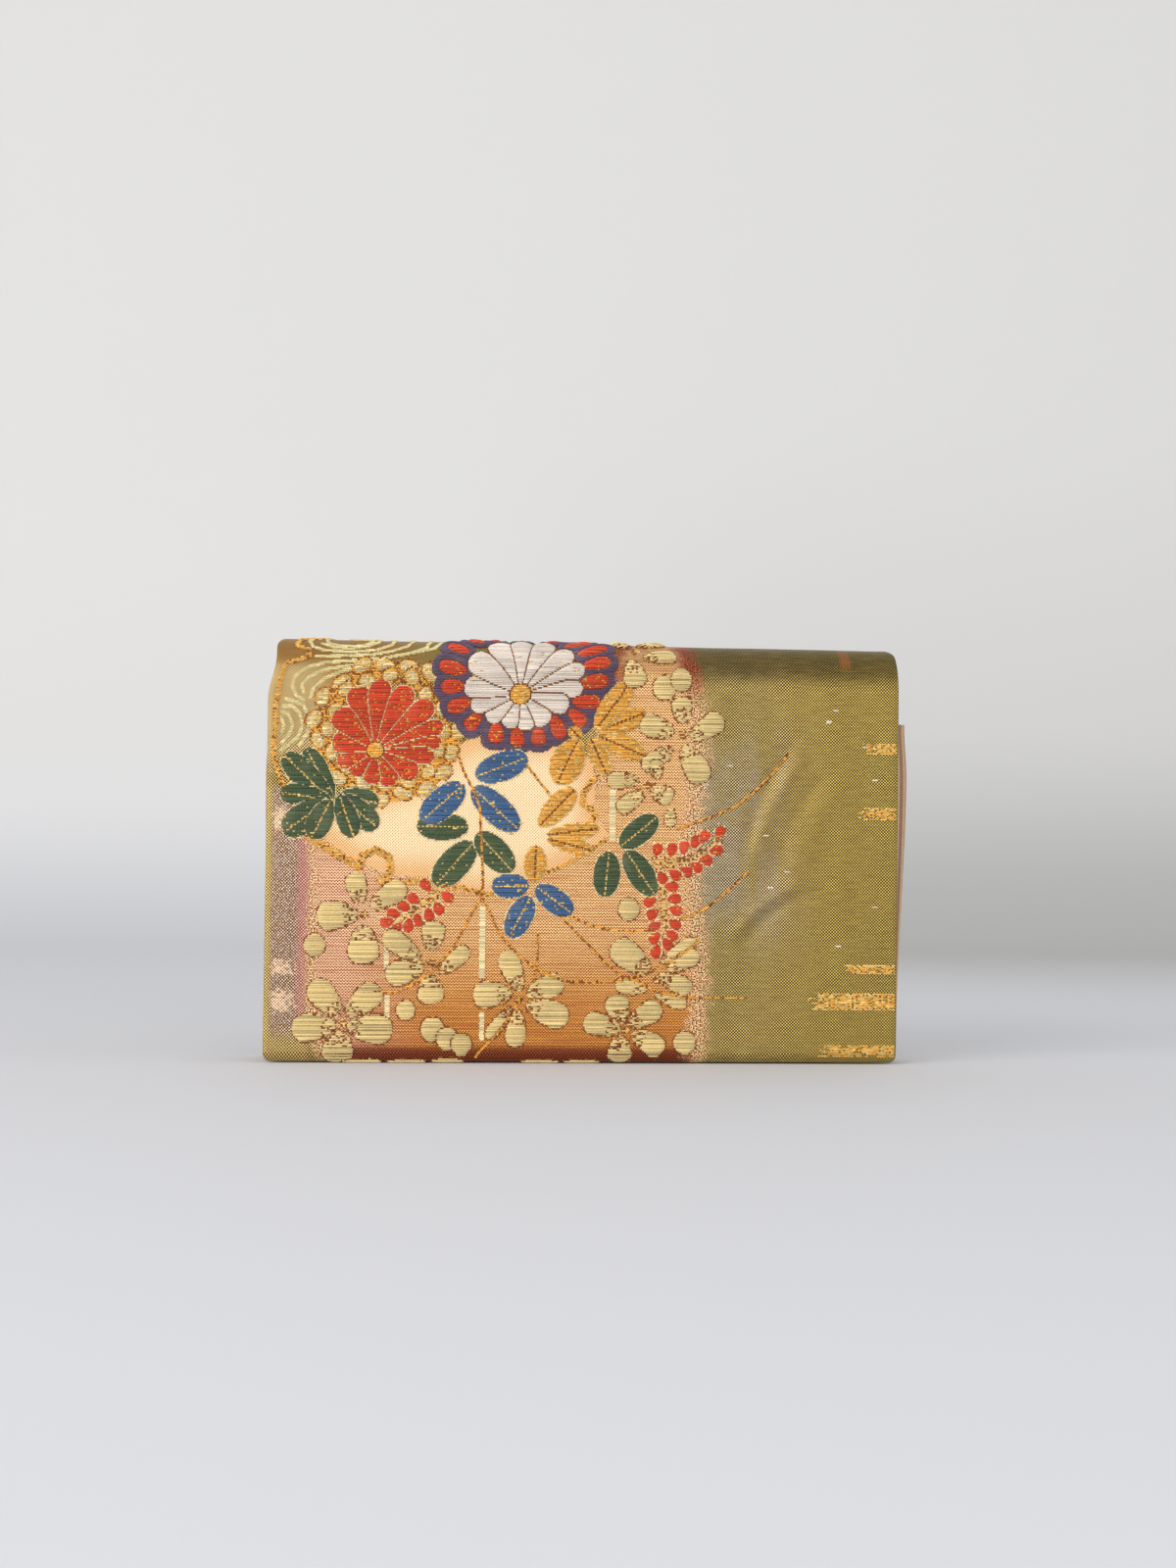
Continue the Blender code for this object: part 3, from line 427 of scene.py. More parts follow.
        slub = x.step(199.0, 200.4) * x.step(204.0, 202.6)
        slub = slub * y.step(136.0, 141.0) * y.step(156.0, 152.0)
        ground = s.mix(slub * 0.45, ground, self.slub)
        ground = s.mix(inside * 0.75, ground, self.reverse)
        gloss = 0.46 - checker * 0.14 + (grain - 0.5) * 0.2
        s.soft(0.06, 0.5, dye(255, 236, 190))
        s.surface.inputs["Specular IOR Level"].default_value = 0.3
        return s.finish(ground, gloss, checker * 0.40 + 0.25, dots * 0.5 + 0.5, 0.00016, 0.6)


class Thread(Enum):
    """The threads of the raised flowers: slot, colour, roughness, metallic and sheen."""

    RED = ("red_thread", dye(224, 70, 26), 0.48, 0.0, 0.22)
    WHITE = ("white_thread", dye(236, 222, 208), 0.50, 0.0, 0.25)
    PLUM = ("plum_thread", dye(94, 72, 98), 0.50, 0.0, 0.30)
    BLUE = ("blue_thread", dye(62, 106, 154), 0.48, 0.0, 0.35)
    GREEN = ("green_thread", dye(74, 96, 60), 0.50, 0.0, 0.25)
    STRAW = ("straw_thread", dye(243, 216, 148), 0.46, 0.0, 0.25)
    GOLD = ("gold_thread", dye(250, 180, 66), 0.40, 0.15, 0.10)
    PALE = ("pale_gold_thread", dye(252, 212, 126), 0.38, 0.15, 0.10)
    WATER = ("water_thread", dye(236, 222, 156), 0.42, 0.10, 0.20)
    CREAM = ("cream_thread", dye(255, 236, 184), 0.38, 0.15, 0.15)
    EMBER = ("copper_thread", dye(152, 82, 30), 0.46, 0.15, 0.05)

    @property
    def slot(self) -> str:
        """The record's slot for this thread."""
        return self.value[0]

    def material(self) -> bpy.types.Material:
        """The thread's finish, made once.

        Returns:
            The material.
        """
        name = self.slot.replace("_", " ")
        if name in bpy.data.materials:
            return bpy.data.materials[name]
        slot, colour, roughness, metallic, sheen = self.value
        s = Shader(name)
        x, _, z = s.place()
        # The tone carries each float's random shade and the painted shade of sunken rows.
        tone = s.attribute("tone")
        fibre = s.noise(x * 900.0, z * 5200.0, 2.0)
        cloud = s.noise(x * 90.0, z * 90.0, 5.0)
        value = 0.70 + tone * 0.38 + (fibre - 0.5) * 0.5 + (cloud - 0.5) * 0.30
        base = s.mix((cloud - 0.55) * 0.4, colour, dye(255, 236, 196))
        s.soft(sheen, 0.4, dye(255, 248, 236))
        return s.finish(
            s.shade(base, value), roughness + (fibre - 0.5) * 0.2, metallic, fibre, 0.0001, 0.4
        )


@dataclass(frozen=True)
class SatinFinish:
    """The lining: smooth deep red satin with fine lengthwise ribs."""

    colour: tuple = dye(122, 26, 18)
    light: tuple = dye(152, 44, 30)

    def material(self) -> bpy.types.Material:
        """Builds the finish on object coordinates.

        Returns:
            The material.
        """
        s = Shader("red satin")
        x, y, z = s.place()
        twill = ((x * 9000.0) + (y + z) * 9000.0).math("SINE")
        cloud = s.noise(x * 40.0, (y + z) * 14.0, 3.0)
        colour = s.mix(cloud.step(0.35, 0.7), self.colour, self.light)
        s.soft(0.12, 0.3, dye(255, 190, 170))
        relief = twill * 0.3 + cloud
        return s.finish(colour, 0.30 + (cloud - 0.5) * 0.2, 0.0, relief, 0.00015, 0.35)


@dataclass(frozen=True)
class GussetFinish:
    """The side cloth: soft pinkish-brown stripes with gold between them."""

    stripe: float = 0.0016
    dark: tuple = dye(150, 112, 92)
    light: tuple = dye(206, 172, 132)
    gold: tuple = dye(216, 150, 74)

    def material(self) -> bpy.types.Material:
        """Builds the finish on object coordinates.

        Returns:
            The material.
        """
        s = Shader("striped gusset cloth")
        _, y, z = s.place()
        wave = (y * (2 * math.pi / self.stripe)).math("SINE")
        weft = s.noise(y * 300.0, z * 1500.0, 4.0)
        colour = s.mix(wave.step(-0.5, 0.4), self.dark, self.light)
        colour = s.mix(wave.step(0.86, 0.98), colour, self.gold)
        colour = s.shade(colour, 0.8 + weft * 0.4)
        s.soft(0.3, 0.5, dye(255, 240, 220))
        return s.finish(colour, 0.62, 0.12, weft + wave * 0.4, 0.00025, 0.5)


@dataclass(frozen=True)
class BoardFinish:
    """Grey-brown pasteboard with short fibres."""

    dark: tuple = dye(150, 136, 116)
    light: tuple = dye(200, 190, 170)

    def material(self) -> bpy.types.Material:
        """Builds the finish on object coordinates.

        Returns:
            The material.
        """
        s = Shader("pasteboard")
        x, y, z = s.place()
        fibre = s.noise(x * 500.0, (z + y) * 2200.0, 1.0, 4.0)
        colour = s.mix(fibre, self.dark, self.light)
        return s.finish(colour, 0.9, 0.0, fibre, 0.0001, 0.4)


@dataclass(frozen=True)
class BrassFinish:
    """Pressed brass, a little worn in places."""

    bright: tuple = dye(216, 172, 96)
    worn: tuple = dye(186, 138, 70)

    def material(self) -> bpy.types.Material:
        """Builds the finish on object coordinates.

        Returns:
            The material.
        """
        s = Shader("pressed brass")
        x, _, z = s.place()
        wear = s.noise(x * 700.0, z * 700.0, 6.0, 4.0)
        colour = s.mix(wear.step(0.4, 0.7), self.bright, self.worn)
        return s.finish(colour, 0.22 + wear * 0.22, 1.0, wear, 0.00004, 0.3)


@cache
def finish_of(kind: type) -> bpy.types.Material:
    """The material of a kind of finish, made once."""
    return kind().material()


def smooth(share: np.ndarray) -> np.ndarray:
    """An even start and end between 0 and 1."""
    share = np.clip(share, 0.0, 1.0)
    return share * share * (3 - 2 * share)


@dataclass(frozen=True)
class Crease:
    """A soft fold in the cloth, in draft millimetres."""

    start: Place
    end: Place
    width: float
    height: float

    def relief(self, x: np.ndarray, y: np.ndarray) -> np.ndarray:
        """How far the crease lifts the cloth at those places, in metres.

        Args:
            x: Draft millimetres across.
            y: Draft millimetres up.

        Returns:
            The lift at each place.
        """
        (ax, ay), (bx, by) = self.start, self.end
        length = math.hypot(bx - ax, by - ay)
        ux, uy = (bx - ax) / length, (by - ay) / length
        along = ((x - ax) * ux + (y - ay) * uy) / length
        off = (y - ay) * ux - (x - ax) * uy + 3.0 * np.sin(along * 2.6)
        ends = smooth(along * 3 + 0.5) * smooth((1 - along) * 3 + 0.5)
        return self.height * np.exp(-((off / self.width) ** 2)) * ends


@dataclass
class Cloth:
    """The shape of the bag's outer cloth, with the sizes of the solids."""

    width: float = 0.220
    height: float = 0.146
    depth: float = 0.028
    fold_rise: float = 0.016
    corner: float = 0.003
    tuck: float = 0.0027
    setback: float = 0.0015
    cover: float = 0.0008
    lining: float = 0.0005
    flap_layers: float = 0.0031
    wall_layers: float = 0.0029
    fold_layers: float = 0.0016
    wall_face: float = 0.0063
    lip_reach: float = 0.0021
    lip_top: float = 0.0039
    flap_hem: float = 0.008
    mouth: float = 0.124
    mouth_reach: float = 0.0020
    mouth_hem: float = 0.010
    rim: float = 0.0008
    base_corner: float = 0.0035
    gap: float = 0.0003
    shift: tuple[float, float] = (0.0, 0.0)
    creases: tuple[Crease, ...] = (
        Crease((182, 112), (167, 73), 2.0, -0.00058),
        Crease((186, 108), (171, 71), 2.4, 0.00080),
        Crease((192, 100), (177, 64), 2.6, -0.00060),
        Crease((198, 98), (184, 56), 4.0, 0.00050),
        Crease((184, 63), (163, 43), 1.9, 0.00074),
        Crease((187, 59), (167, 40), 2.2, -0.00060),
        Crease((162, 126), (176, 96), 4.5, -0.00030),
        Crease((206, 96), (200, 20), 7.0, 0.00022),
        Crease((14, 88), (10, 36), 3.6, 0.00018),
    )

    def __post_init__(self) -> None:
        """Works out the lengths that follow."""
        self.shoulder = self.height - self.fold_rise
        self.reach = self.depth / 2
        self.quarter = math.pi / 2 * math.sqrt((self.fold_rise**2 + self.reach**2) / 2)
        self.ridge = self.shoulder + self.quarter
        self.back = self.shoulder + 2 * self.quarter
        self.draft_scale = self.ridge / DRAFT_RIDGE

    def left(self, height: np.ndarray) -> np.ndarray:
        """Where the flap's left edge is at that height."""
        share = (height - self.mouth) / (self.height - self.mouth) * 1.4
        return -self.width / 2 + self.tuck * smooth(share)

    def trim(self, height: np.ndarray) -> np.ndarray:
        """How far the rounded corners draw the edges in at that height."""
        near = np.clip(np.minimum(height, self.height - height), 0, self.corner)
        return self.corner - np.sqrt(self.corner**2 - (self.corner - near) ** 2)

    def edges(self, height: np.ndarray, behind: np.ndarray) -> tuple[np.ndarray, np.ndarray]:
        """The cloth's left and right edges.

        Args:
            height: Heights above the table.
            behind: 0 on the flap and 1 on the body.

        Returns:
            The left edges and the right edges.
        """
        left = self.left(height)
        share = smooth((height - self.mouth) / (self.height - self.corner - self.mouth))
        half = self.width / 2 - self.setback
        body_left = -half + (left + half) * share
        body_right = half + self.setback * share
        trim = self.trim(height)
        right = self.width / 2 + (body_right - self.width / 2) * behind
        return left + (body_left - left) * behind + trim, right - trim

    def step(self, length: np.ndarray) -> tuple[np.ndarray, ...]:
        """The place on the outer cloth at a length up from the flap's foot.

        Args:
            length: Lengths along the cloth in metres; below 0 they run up the hem inside.

        Returns:
            Depths, heights, and the two parts of the way out.
        """
        lip = np.radians(270 - 90 * np.clip(length / self.lip_top, -1, 1))
        fold = np.radians(180 - 90 * (length - self.shoulder) / self.quarter)
        on_lip = np.abs(length) < self.lip_top
        on_fold = (length > self.shoulder) & (length < self.back)
        hem = length <= -self.lip_top
        behind = length >= self.back
        angle = np.where(on_lip, lip, fold)
        wide = np.where(on_lip, self.lip_reach, self.reach)
        tall = np.where(on_lip, self.lip_top - 0.0004, self.fold_rise)
        middle = np.where(on_lip, self.lip_top, self.shoulder)
        across, up = np.cos(angle), np.sin(angle)
        cases = [on_lip | on_fold, hem, behind]
        depth = np.select(cases, [wide * (1 + across), 2 * self.lip_reach, self.depth], 0.0)
        down = self.shoulder + self.back - length
        high = np.select(cases, [middle + tall * up, -length, down], length)
        size = np.hypot(across / wide, up / tall)
        out_depth = np.select(cases, [across / wide / size, 1.0, 1.0], -1.0)
        out_up = np.select(cases, [up / tall / size, 0.0, 0.0], 0.0)
        return depth, high, out_depth, out_up

    def relief(self, x: np.ndarray, y: np.ndarray) -> np.ndarray:
        """How far the cloth stands off its even shape at draft places, in metres.

        Args:
            x: Draft millimetres across.
            y: Draft millimetres up.

        Returns:
            The lift at each place.
        """
        total = sum(crease.relief(x, y) for crease in self.creases)
        swell = np.sin(x / 9.1 + 1.3 * np.sin(y / 17.0)) * np.sin(y / 7.3 + np.sin(x / 13.0))
        ease = np.clip(np.minimum(np.minimum(x, DRAFT_WIDTH - x) / 6.0, y / 6.0), 0, 1)
        return (total + 0.00007 * swell) * ease

    def point(self, x: np.ndarray, y: np.ndarray, lift: np.ndarray) -> np.ndarray:
        """Places over the cloth.

        Args:
            x: Draft millimetres across.
            y: Draft millimetres up.
            lift: Metres off the cloth.

        Returns:
            An array of points.
        """
        depth, high, out_depth, out_up = self.step(np.asarray(y) * self.draft_scale)
        raised = lift + self.relief(x, y)
        across = (np.asarray(x) / DRAFT_WIDTH - 0.5) * self.width
        across = np.where(across < 0, across * self.left(high) / (-self.width / 2), across)
        return self.world(across, depth + out_depth * raised, high + out_up * raised)

    def world(self, x: np.ndarray, depth: np.ndarray, height: np.ndarray) -> np.ndarray:
        """Points from places across, back from the face, and up."""
        y = depth - self.depth / 2 + self.shift[1]
        return np.stack(np.broadcast_arrays(x + self.shift[0], y, height), axis=-1)


def piece(name: str, mesh: bpy.types.Mesh, finish: bpy.types.Material) -> bpy.types.Object:
    """Links an object for a mesh, with its material.

    Args:
        name: The piece's name.
        mesh: Its mesh.
        finish: Its material.

    Returns:
        The object.
    """
    mesh.materials.clear()
    mesh.materials.append(finish)
    made = bpy.data.objects.new(name, mesh)
    bpy.context.scene.collection.objects.link(made)
    return made


def loft(name: str, rings: np.ndarray) -> bpy.types.Mesh:
    """A closed skin through rings of points, smooth along it and capped at its ends.

    Args:
        name: The mesh's name.
        rings: Points as an array of rings, places and coordinates.

    Returns:
        The mesh.
    """
    count, places = rings.shape[:2]
    grid = np.arange(count * places).reshape(count, places)
    ahead = np.roll(grid, -1, axis=1)
    quads = np.stack((grid[:-1], ahead[:-1], ahead[1:], grid[1:]), axis=-1).reshape(-1, 4)
    faces = [*quads.tolist(), grid[0][::-1].tolist(), grid[-1].tolist()]
    mesh = bpy.data.meshes.new(name)
    mesh.from_pydata(rings.reshape(-1, 3).tolist(), [], faces)
    bm = bmesh.new()
    bm.from_mesh(mesh)
    bmesh.ops.recalc_face_normals(bm, faces=bm.faces)
    for face in bm.faces:
        face.smooth = len(face.verts) == 4
    caps = [f for f in bm.faces if len(f.verts) > 4]
    for face in caps:
        for edge in face.edges:
            edge.smooth = False
    bmesh.ops.triangulate(bm, faces=caps)
    bm.to_mesh(mesh)
    bm.free()
    return mesh


def store(mesh: bpy.types.Mesh, name: str, values: np.ndarray) -> None:
    """Keeps a number or a vector for each point of a mesh.

    Args:
        mesh: The mesh.
        name: The attribute's name.
        values: Its values in the points' order.
    """
    kind, key = ("FLOAT_VECTOR", "vector") if values.ndim == 2 else ("FLOAT", "value")
    made = mesh.attributes.new(name, kind, "POINT")
    made.data.foreach_set(key, values.astype(np.float32).ravel())


def inside_of(outline: Route, x: np.ndarray, y: np.ndarray) -> np.ndarray:
    """How far places lie inside a closed outline, negative outside it.

    Args:
        outline: The outline's corners.
        x: Draft millimetres across.
        y: Draft millimetres up.

    Returns:
        Distances from the outline in millimetres.
    """
    ring = np.array(outline, float)
    nearest = np.full(x.shape, 1e9)
    crossings = np.zeros(x.shape, int)
    for (ax, ay), (bx, by) in zip(ring, np.roll(ring, -1, axis=0)):
        dx, dy = bx - ax, by - ay
        share = np.clip(((x - ax) * dx + (y - ay) * dy) / (dx * dx + dy * dy), 0, 1)
        nearest = np.minimum(nearest, np.hypot(x - ax - share * dx, y - ay - share * dy))
        if dy:
            crossings += ((ay > y) != (by > y)) & (x < ax + dx * (y - ay) / dy)
    return np.where(crossings % 2 == 1, nearest, -nearest)


@dataclass
class Brocade:
    """The outer cloth: the flap with its fold and back, and the body's front and base."""

    cloth: Cloth
    columns: int = 130
    inner_columns: int = 40
    cream: Route = (
        (7, 81), (17, 78.5), (29, 70), (38, 66), (44, 64), (57, 64), (63, 60), (74, 57.5), (83, 57.5),
        (89, 63), (98, 67), (107, 70.5), (113, 75), (118.5, 79), (112, 86.5), (113, 94), (112, 104),
        (104, 112), (88, 112), (70, 112), (60, 106), (52, 98), (39, 93), (28, 92), (18, 86),
    )  # fmt: skip
    copper: Route = (
        (14, 80), (15, 60), (15, 40), (16, 22), (22, 8), (30, -30), (100, -30), (146, -30), (149, 20),
        (149, 37), (147, 52), (145.5, 73), (148, 98), (148, 118), (145, 137), (142, 153),
        (122, 153), (119, 130), (114, 100), (80, 66), (40, 66),
    )  # fmt: skip
    plum: Route = ((-30, -30), (20, -30), (14, 12), (14, 40), (15, 66), (12, 88), (6, 94), (-30, 96))

    def section(self, places: tuple, edges: tuple, deep: np.ndarray, draft: np.ndarray) -> np.ndarray:
        """Rings of the cloth along a path.

        Args:
            places: Depths, heights and ways out along the path.
            edges: Left and right edges along the path.
            deep: How deep the turned rims are along the path.
            draft: The draft height along the path, for the relief.

        Returns:
            Rings of points.
        """
        c = self.cloth
        depth, high, out_depth, out_up = (a[:, None] for a in places)
        left, right = (e[:, None] for e in edges)
        bend = 0.0005
        share = np.linspace(0, 1, self.columns)[None]
        back = np.linspace(1, 0, self.inner_columns)[None]
        face_x = left + bend + (right - left - 2 * bend) * share
        inner_x = left + c.rim + (right - left - 2 * c.rim) * back
        ones = np.ones_like(left)
        soft, part = bend * ones, bend * (1 - math.sqrt(0.5)) * ones
        deep = np.maximum(deep[:, None], c.cover + 0.00005)
        lift = c.relief((face_x / c.width + 0.5) * DRAFT_WIDTH, draft[:, None] * np.ones_like(face_x))
        lift = lift * smooth(high / 0.006)
        thin = c.cover * np.ones_like(inner_x)
        xs = [face_x, right - part, right, right, right - c.rim]
        xs += [inner_x, left + c.rim, left, left, left + part]
        ins = [-lift, part, soft, deep, deep, thin, deep, deep, soft, part]
        x, inset = np.concatenate(xs, axis=1), np.concatenate(ins, axis=1)
        return c.world(x, depth - out_depth * inset, high - out_up * inset)

    def dress(self, mesh: bpy.types.Mesh, rings: np.ndarray, draft: np.ndarray) -> None:
        """Gives the mesh its draft places and how deep each lies in the fields of colour.

        Args:
            mesh: The mesh.
            rings: Its points.
            draft: The draft height of each ring.
        """
        c = self.cloth
        x = ((rings[..., 0] - c.shift[0]) / c.width + 0.5) * DRAFT_WIDTH
        y = np.repeat(draft[:, None], x.shape[1], axis=1)
        inner = np.zeros_like(x)
        inner[:, self.columns + 4 : self.columns + 4 + self.inner_columns] = 1.0
        flat = [a.ravel() for a in (x, y, inner)]
        store(mesh, "draft", np.stack(flat, axis=-1))
        for name in ("cream", "copper", "plum"):
            store(mesh, name, inside_of(getattr(self, name), flat[0], flat[1]))

    def flap(self) -> bpy.types.Object:
        """The cloth from the back's foot, over the fold and down the face to the hem inside.

        Returns:
            The piece.
        """
        c = self.cloth
        low = -(c.lip_top + c.flap_hem)
        lip = np.linspace(low, c.lip_top, 20)[:-1]
        face = np.linspace(c.lip_top, c.shoulder, 84)[:-1]
        fold = np.linspace(c.shoulder, c.back, 44)[:-1]
        behind = np.linspace(c.back, c.back + c.shoulder - c.base_corner, 50)
        length = np.concatenate((lip, face, fold, behind))
        places = c.step(length)
        body = smooth((length - c.ridge) / 0.002)
        edges = c.edges(places[1], body)
        stops = (c.lip_top, c.lip_top + c.rim, c.shoulder - 0.005, c.shoulder, c.back, c.back + 0.005)
        deeps = (c.cover, c.flap_layers, c.flap_layers, c.fold_layers, c.fold_layers, c.wall_layers)
        draft = length / c.draft_scale
        rings = self.section(places, edges, np.interp(length, stops, deeps), draft)
        mesh = loft("flap_brocade", rings)
        self.dress(mesh, rings, draft)
        return piece("flap_brocade", mesh, finish_of(BrocadeFinish))

    def body(self) -> bpy.types.Object:
        """The cloth from the back's foot, under the base and up the front to the mouth's hem.

        Returns:
            The piece.
        """
        c = self.cloth
        rows = []
        for angle in np.linspace(360, 270, 8):
            rows.append((c.depth - c.base_corner, c.base_corner, c.base_corner, angle))
        for angle in np.linspace(270, 180, 8):
            rows.append((c.wall_face + c.base_corner, c.base_corner, c.base_corner, angle))
        top = c.mouth - c.mouth_reach
        for high in np.linspace(c.base_corner, top, 50)[1:-1]:
            rows.append((c.wall_face, high, 0.0, 180.0))
        for angle in np.linspace(180, 0, 14):
            rows.append((c.wall_face + c.mouth_reach, top, c.mouth_reach, angle))
        for high in np.linspace(top, top - c.mouth_hem, 6)[1:]:
            rows.append((c.wall_face + 2 * c.mouth_reach, high, 0.0, 0.0))
        middle, level, radius, angle = (np.array(a) for a in zip(*rows))
        turn = np.radians(angle)
        out_depth, out_up = np.cos(turn), np.sin(turn)
        depth, high = middle + radius * out_depth, level + radius * out_up
        left, right = c.edges(high, np.ones_like(high))
        hem = c.width / 2 - c.setback - c.rim - c.gap - 0.0010 - 2 * c.gap
        share = np.where(np.arange(len(rows)) >= len(rows) - 18, 1.0, 0.0)
        share[-18:-5] = np.linspace(0.05, 1, 13)
        left, right = left + (-hem - left) * share, right + (hem - right) * share
        deep = np.where(share > 0, c.cover, c.wall_layers)
        gone = np.concatenate(([0], np.cumsum(np.hypot(np.diff(depth), np.diff(high)))))
        draft = (c.back + c.shoulder + gone) / c.draft_scale
        rings = self.section((depth, high, out_depth, out_up), (left, right), deep, draft)
        mesh = loft("body_brocade", rings)
        self.dress(mesh, rings, draft)
        return piece("body_brocade", mesh, finish_of(BrocadeFinish))


@dataclass
class Lining:
    """The satin inside the flap and the body."""

    cloth: Cloth
    columns: int = 70

    def band(
        self, name: str, places: tuple, edges: tuple, inset: np.ndarray, seed: float
    ) -> bpy.types.Object:
        """A thin closed band of satin with slight ease across it.

        Args:
            name: The piece's name.
            places: Depths, heights and ways out along the path.
            edges: Left and right edges along the path.
            inset: How far in from the outer face the satin's near side lies.
            seed: Moves the slack along.

        Returns:
            The piece.
        """
        c = self.cloth
        depth, high, out_depth, out_up = (a[:, None] for a in places)
        left, right = edges[0][:, None], edges[1][:, None]
        share = np.linspace(0, 1, self.columns)[None]
        x = left + (right - left) * share
        rows = np.arange(len(inset))[:, None]
        slack = 0.00009 * (1 + np.sin(x * 260 + seed) * np.sin(rows * 0.35 + x * 60))
        slack = slack * np.clip(np.minimum(share, 1 - share) * 14, 0, 1)
        near = inset[:, None] + slack
        far = near + c.lining
        full = np.concatenate((x, x[:, ::-1]), axis=1)
        deep = np.concatenate((near, far[:, ::-1]), axis=1)
        rings = c.world(full, depth - out_depth * deep, high - out_up * deep)
        return piece(name, loft(name, rings), finish_of(SatinFinish))

    def flap(self) -> bpy.types.Object:
        """The satin from the back's foot inside, over the fold and down under the flap.

        Returns:
            The piece.
        """
        c = self.cloth
        length = np.concatenate(
            (
                np.linspace(c.lip_top + c.gap, c.shoulder, 40)[:-1],
                np.linspace(c.shoulder, c.back, 30)[:-1],
                np.linspace(c.back, c.back + c.shoulder - c.base_corner, 40),
            )
        )
        places = c.step(length)
        left, right = c.edges(places[1], smooth((length - c.ridge) / 0.002))
        side = c.rim + c.gap
        stops = (c.shoulder - 0.005, c.shoulder, c.back, c.back + 0.005)
        layers = (c.flap_layers, c.fold_layers, c.fold_layers, c.wall_layers)
        inset = np.interp(length, stops, layers) - c.lining
        return self.band("flap_satin", places, (left + side, right - side), inset, 1.0)

    def body(self) -> bpy.types.Object:
        """The satin over the base and up inside the front wall to the mouth's hem.

        Returns:
            The piece.
        """
        c = self.cloth
        low = c.wall_layers - c.lining
        top = c.mouth - c.mouth_reach - c.gap
        near, far = c.wall_face + low, c.depth - low
        heights = np.linspace(c.base_corner, top, 36)
        inner = c.base_corner - low
        turns = np.radians(np.linspace(360, 270, 6))
        bends = np.radians(np.linspace(270, 180, 6))
        behind, ahead = far - inner + inner * np.cos(turns), near + inner + inner * np.cos(bends)
        rising = c.base_corner + inner * np.sin(turns), c.base_corner + inner * np.sin(bends)
        depth = np.concatenate((behind, ahead, np.full(35, near)))
        high = np.concatenate((*rising, heights[1:]))
        out_depth = np.concatenate((np.cos(turns), np.cos(bends), np.full(35, -1.0)))
        out_up = np.concatenate((np.sin(turns), np.sin(bends), np.zeros(35)))
        left, right = c.edges(np.maximum(high, c.base_corner), np.ones_like(high))
        side = c.rim + c.gap + np.where(high < c.base_corner - 0.00005, c.corner, 0.0)
        inset = np.zeros_like(depth)
        return self.band(
            "body_satin", (depth, high, out_depth, out_up), (left + side, right - side), inset, 4.0
        )


class Tree:
    """A Geometry Nodes tree under construction."""

    def __init__(self, name: str, inputs: dict[str, str]) -> None:
        """Starts a tree.

        Args:
            name: The tree's name.
            inputs: The named inputs after the geometry, and the kind of socket of each.
        """
        self.group = bpy.data.node_groups.new(name, "GeometryNodeTree")
        face = self.group.interface
        face.new_socket("Geometry", in_out="INPUT", socket_type="NodeSocketGeometry")
        for title, kind in inputs.items():
            face.new_socket(title, in_out="INPUT", socket_type=kind)
        face.new_socket("Geometry", in_out="OUTPUT", socket_type="NodeSocketGeometry")
        self.start = self.group.nodes.new("NodeGroupInput")

    def node(self, kind: str, settings: dict, inputs: dict) -> bpy.types.Node:
        """Adds any node, whose inputs are values or other nodes' sockets.

        Args:
            kind: The node's type.
            settings: Its own settings.
            inputs: Its sockets.

        Returns:
            The node.
        """
        made = self.group.nodes.new(kind)
        for key, value in settings.items():
            setattr(made, key, value)
        for key, value in inputs.items():
            if isinstance(value, bpy.types.NodeSocket):
                self.group.links.new(value, made.inputs[key])
            else:
                made.inputs[key].default_value = value
        return made

    def close(self, geometry: bpy.types.NodeSocket) -> None:
        """Ends the tree in real, dressed geometry.

        Args:
            geometry: The tree's last geometry.
        """
        real = self.node("GeometryNodeRealizeInstances", {}, {0: geometry})
        finish = self.start.outputs["Finish"]
        dressed = self.node("GeometryNodeSetMaterial", {}, {0: real.outputs[0], 2: finish})
        self.node("NodeGroupOutput", {}, {0: dressed.outputs[0]})

    def grow(self, name: str, mesh: bpy.types.Mesh, values: dict) -> bpy.types.Object:
        """Runs the tree on a mesh and keeps the result as a plain piece.

        Args:
            name: The piece's name.
            mesh: What the tree starts from.
            values: The tree's inputs by their titles.

        Returns:
            The piece.
        """
        seed = bpy.data.objects.new(name + "_seed", mesh)
        bpy.context.scene.collection.objects.link(seed)
        modifier = seed.modifiers.new("grow", "NODES")
        modifier.node_group = self.group
        for item in self.group.interface.items_tree:
            if item.in_out == "INPUT" and item.name in values:
                modifier[item.identifier] = values[item.name]
        depsgraph = bpy.context.evaluated_depsgraph_get()
        grown = bpy.data.meshes.new_from_object(seed.evaluated_get(depsgraph))
        bpy.data.objects.remove(seed)
        return piece(name, grown, values["Finish"])


def float_tree() -> Tree:
    """The tree that lays a round thread along each float's route.

    Returns:
        The tree.
    """
    sockets = {
        "Thread Radius": "NodeSocketFloat",
        "Thread Sides": "NodeSocketInt",
        "Finish": "NodeSocketMaterial",
    }
    tree = Tree("woven floats", sockets)
    outputs = tree.start.outputs
    curve = tree.node("GeometryNodeMeshToCurve", {}, {0: outputs["Geometry"]})
    ring = tree.node(
        "GeometryNodeCurvePrimitiveCircle",
        {},
        {"Resolution": outputs["Thread Sides"], "Radius": outputs["Thread Radius"]},
    )
    settings = {"Curve": curve.outputs[0], "Profile Curve": ring.outputs[0], "Fill Caps": True}
    tube = tree.node("GeometryNodeCurveToMesh", {}, settings)
    tree.close(tree.node("GeometryNodeSetShadeSmooth", {}, {0: tube.outputs[0]}).outputs[0])
    return tree


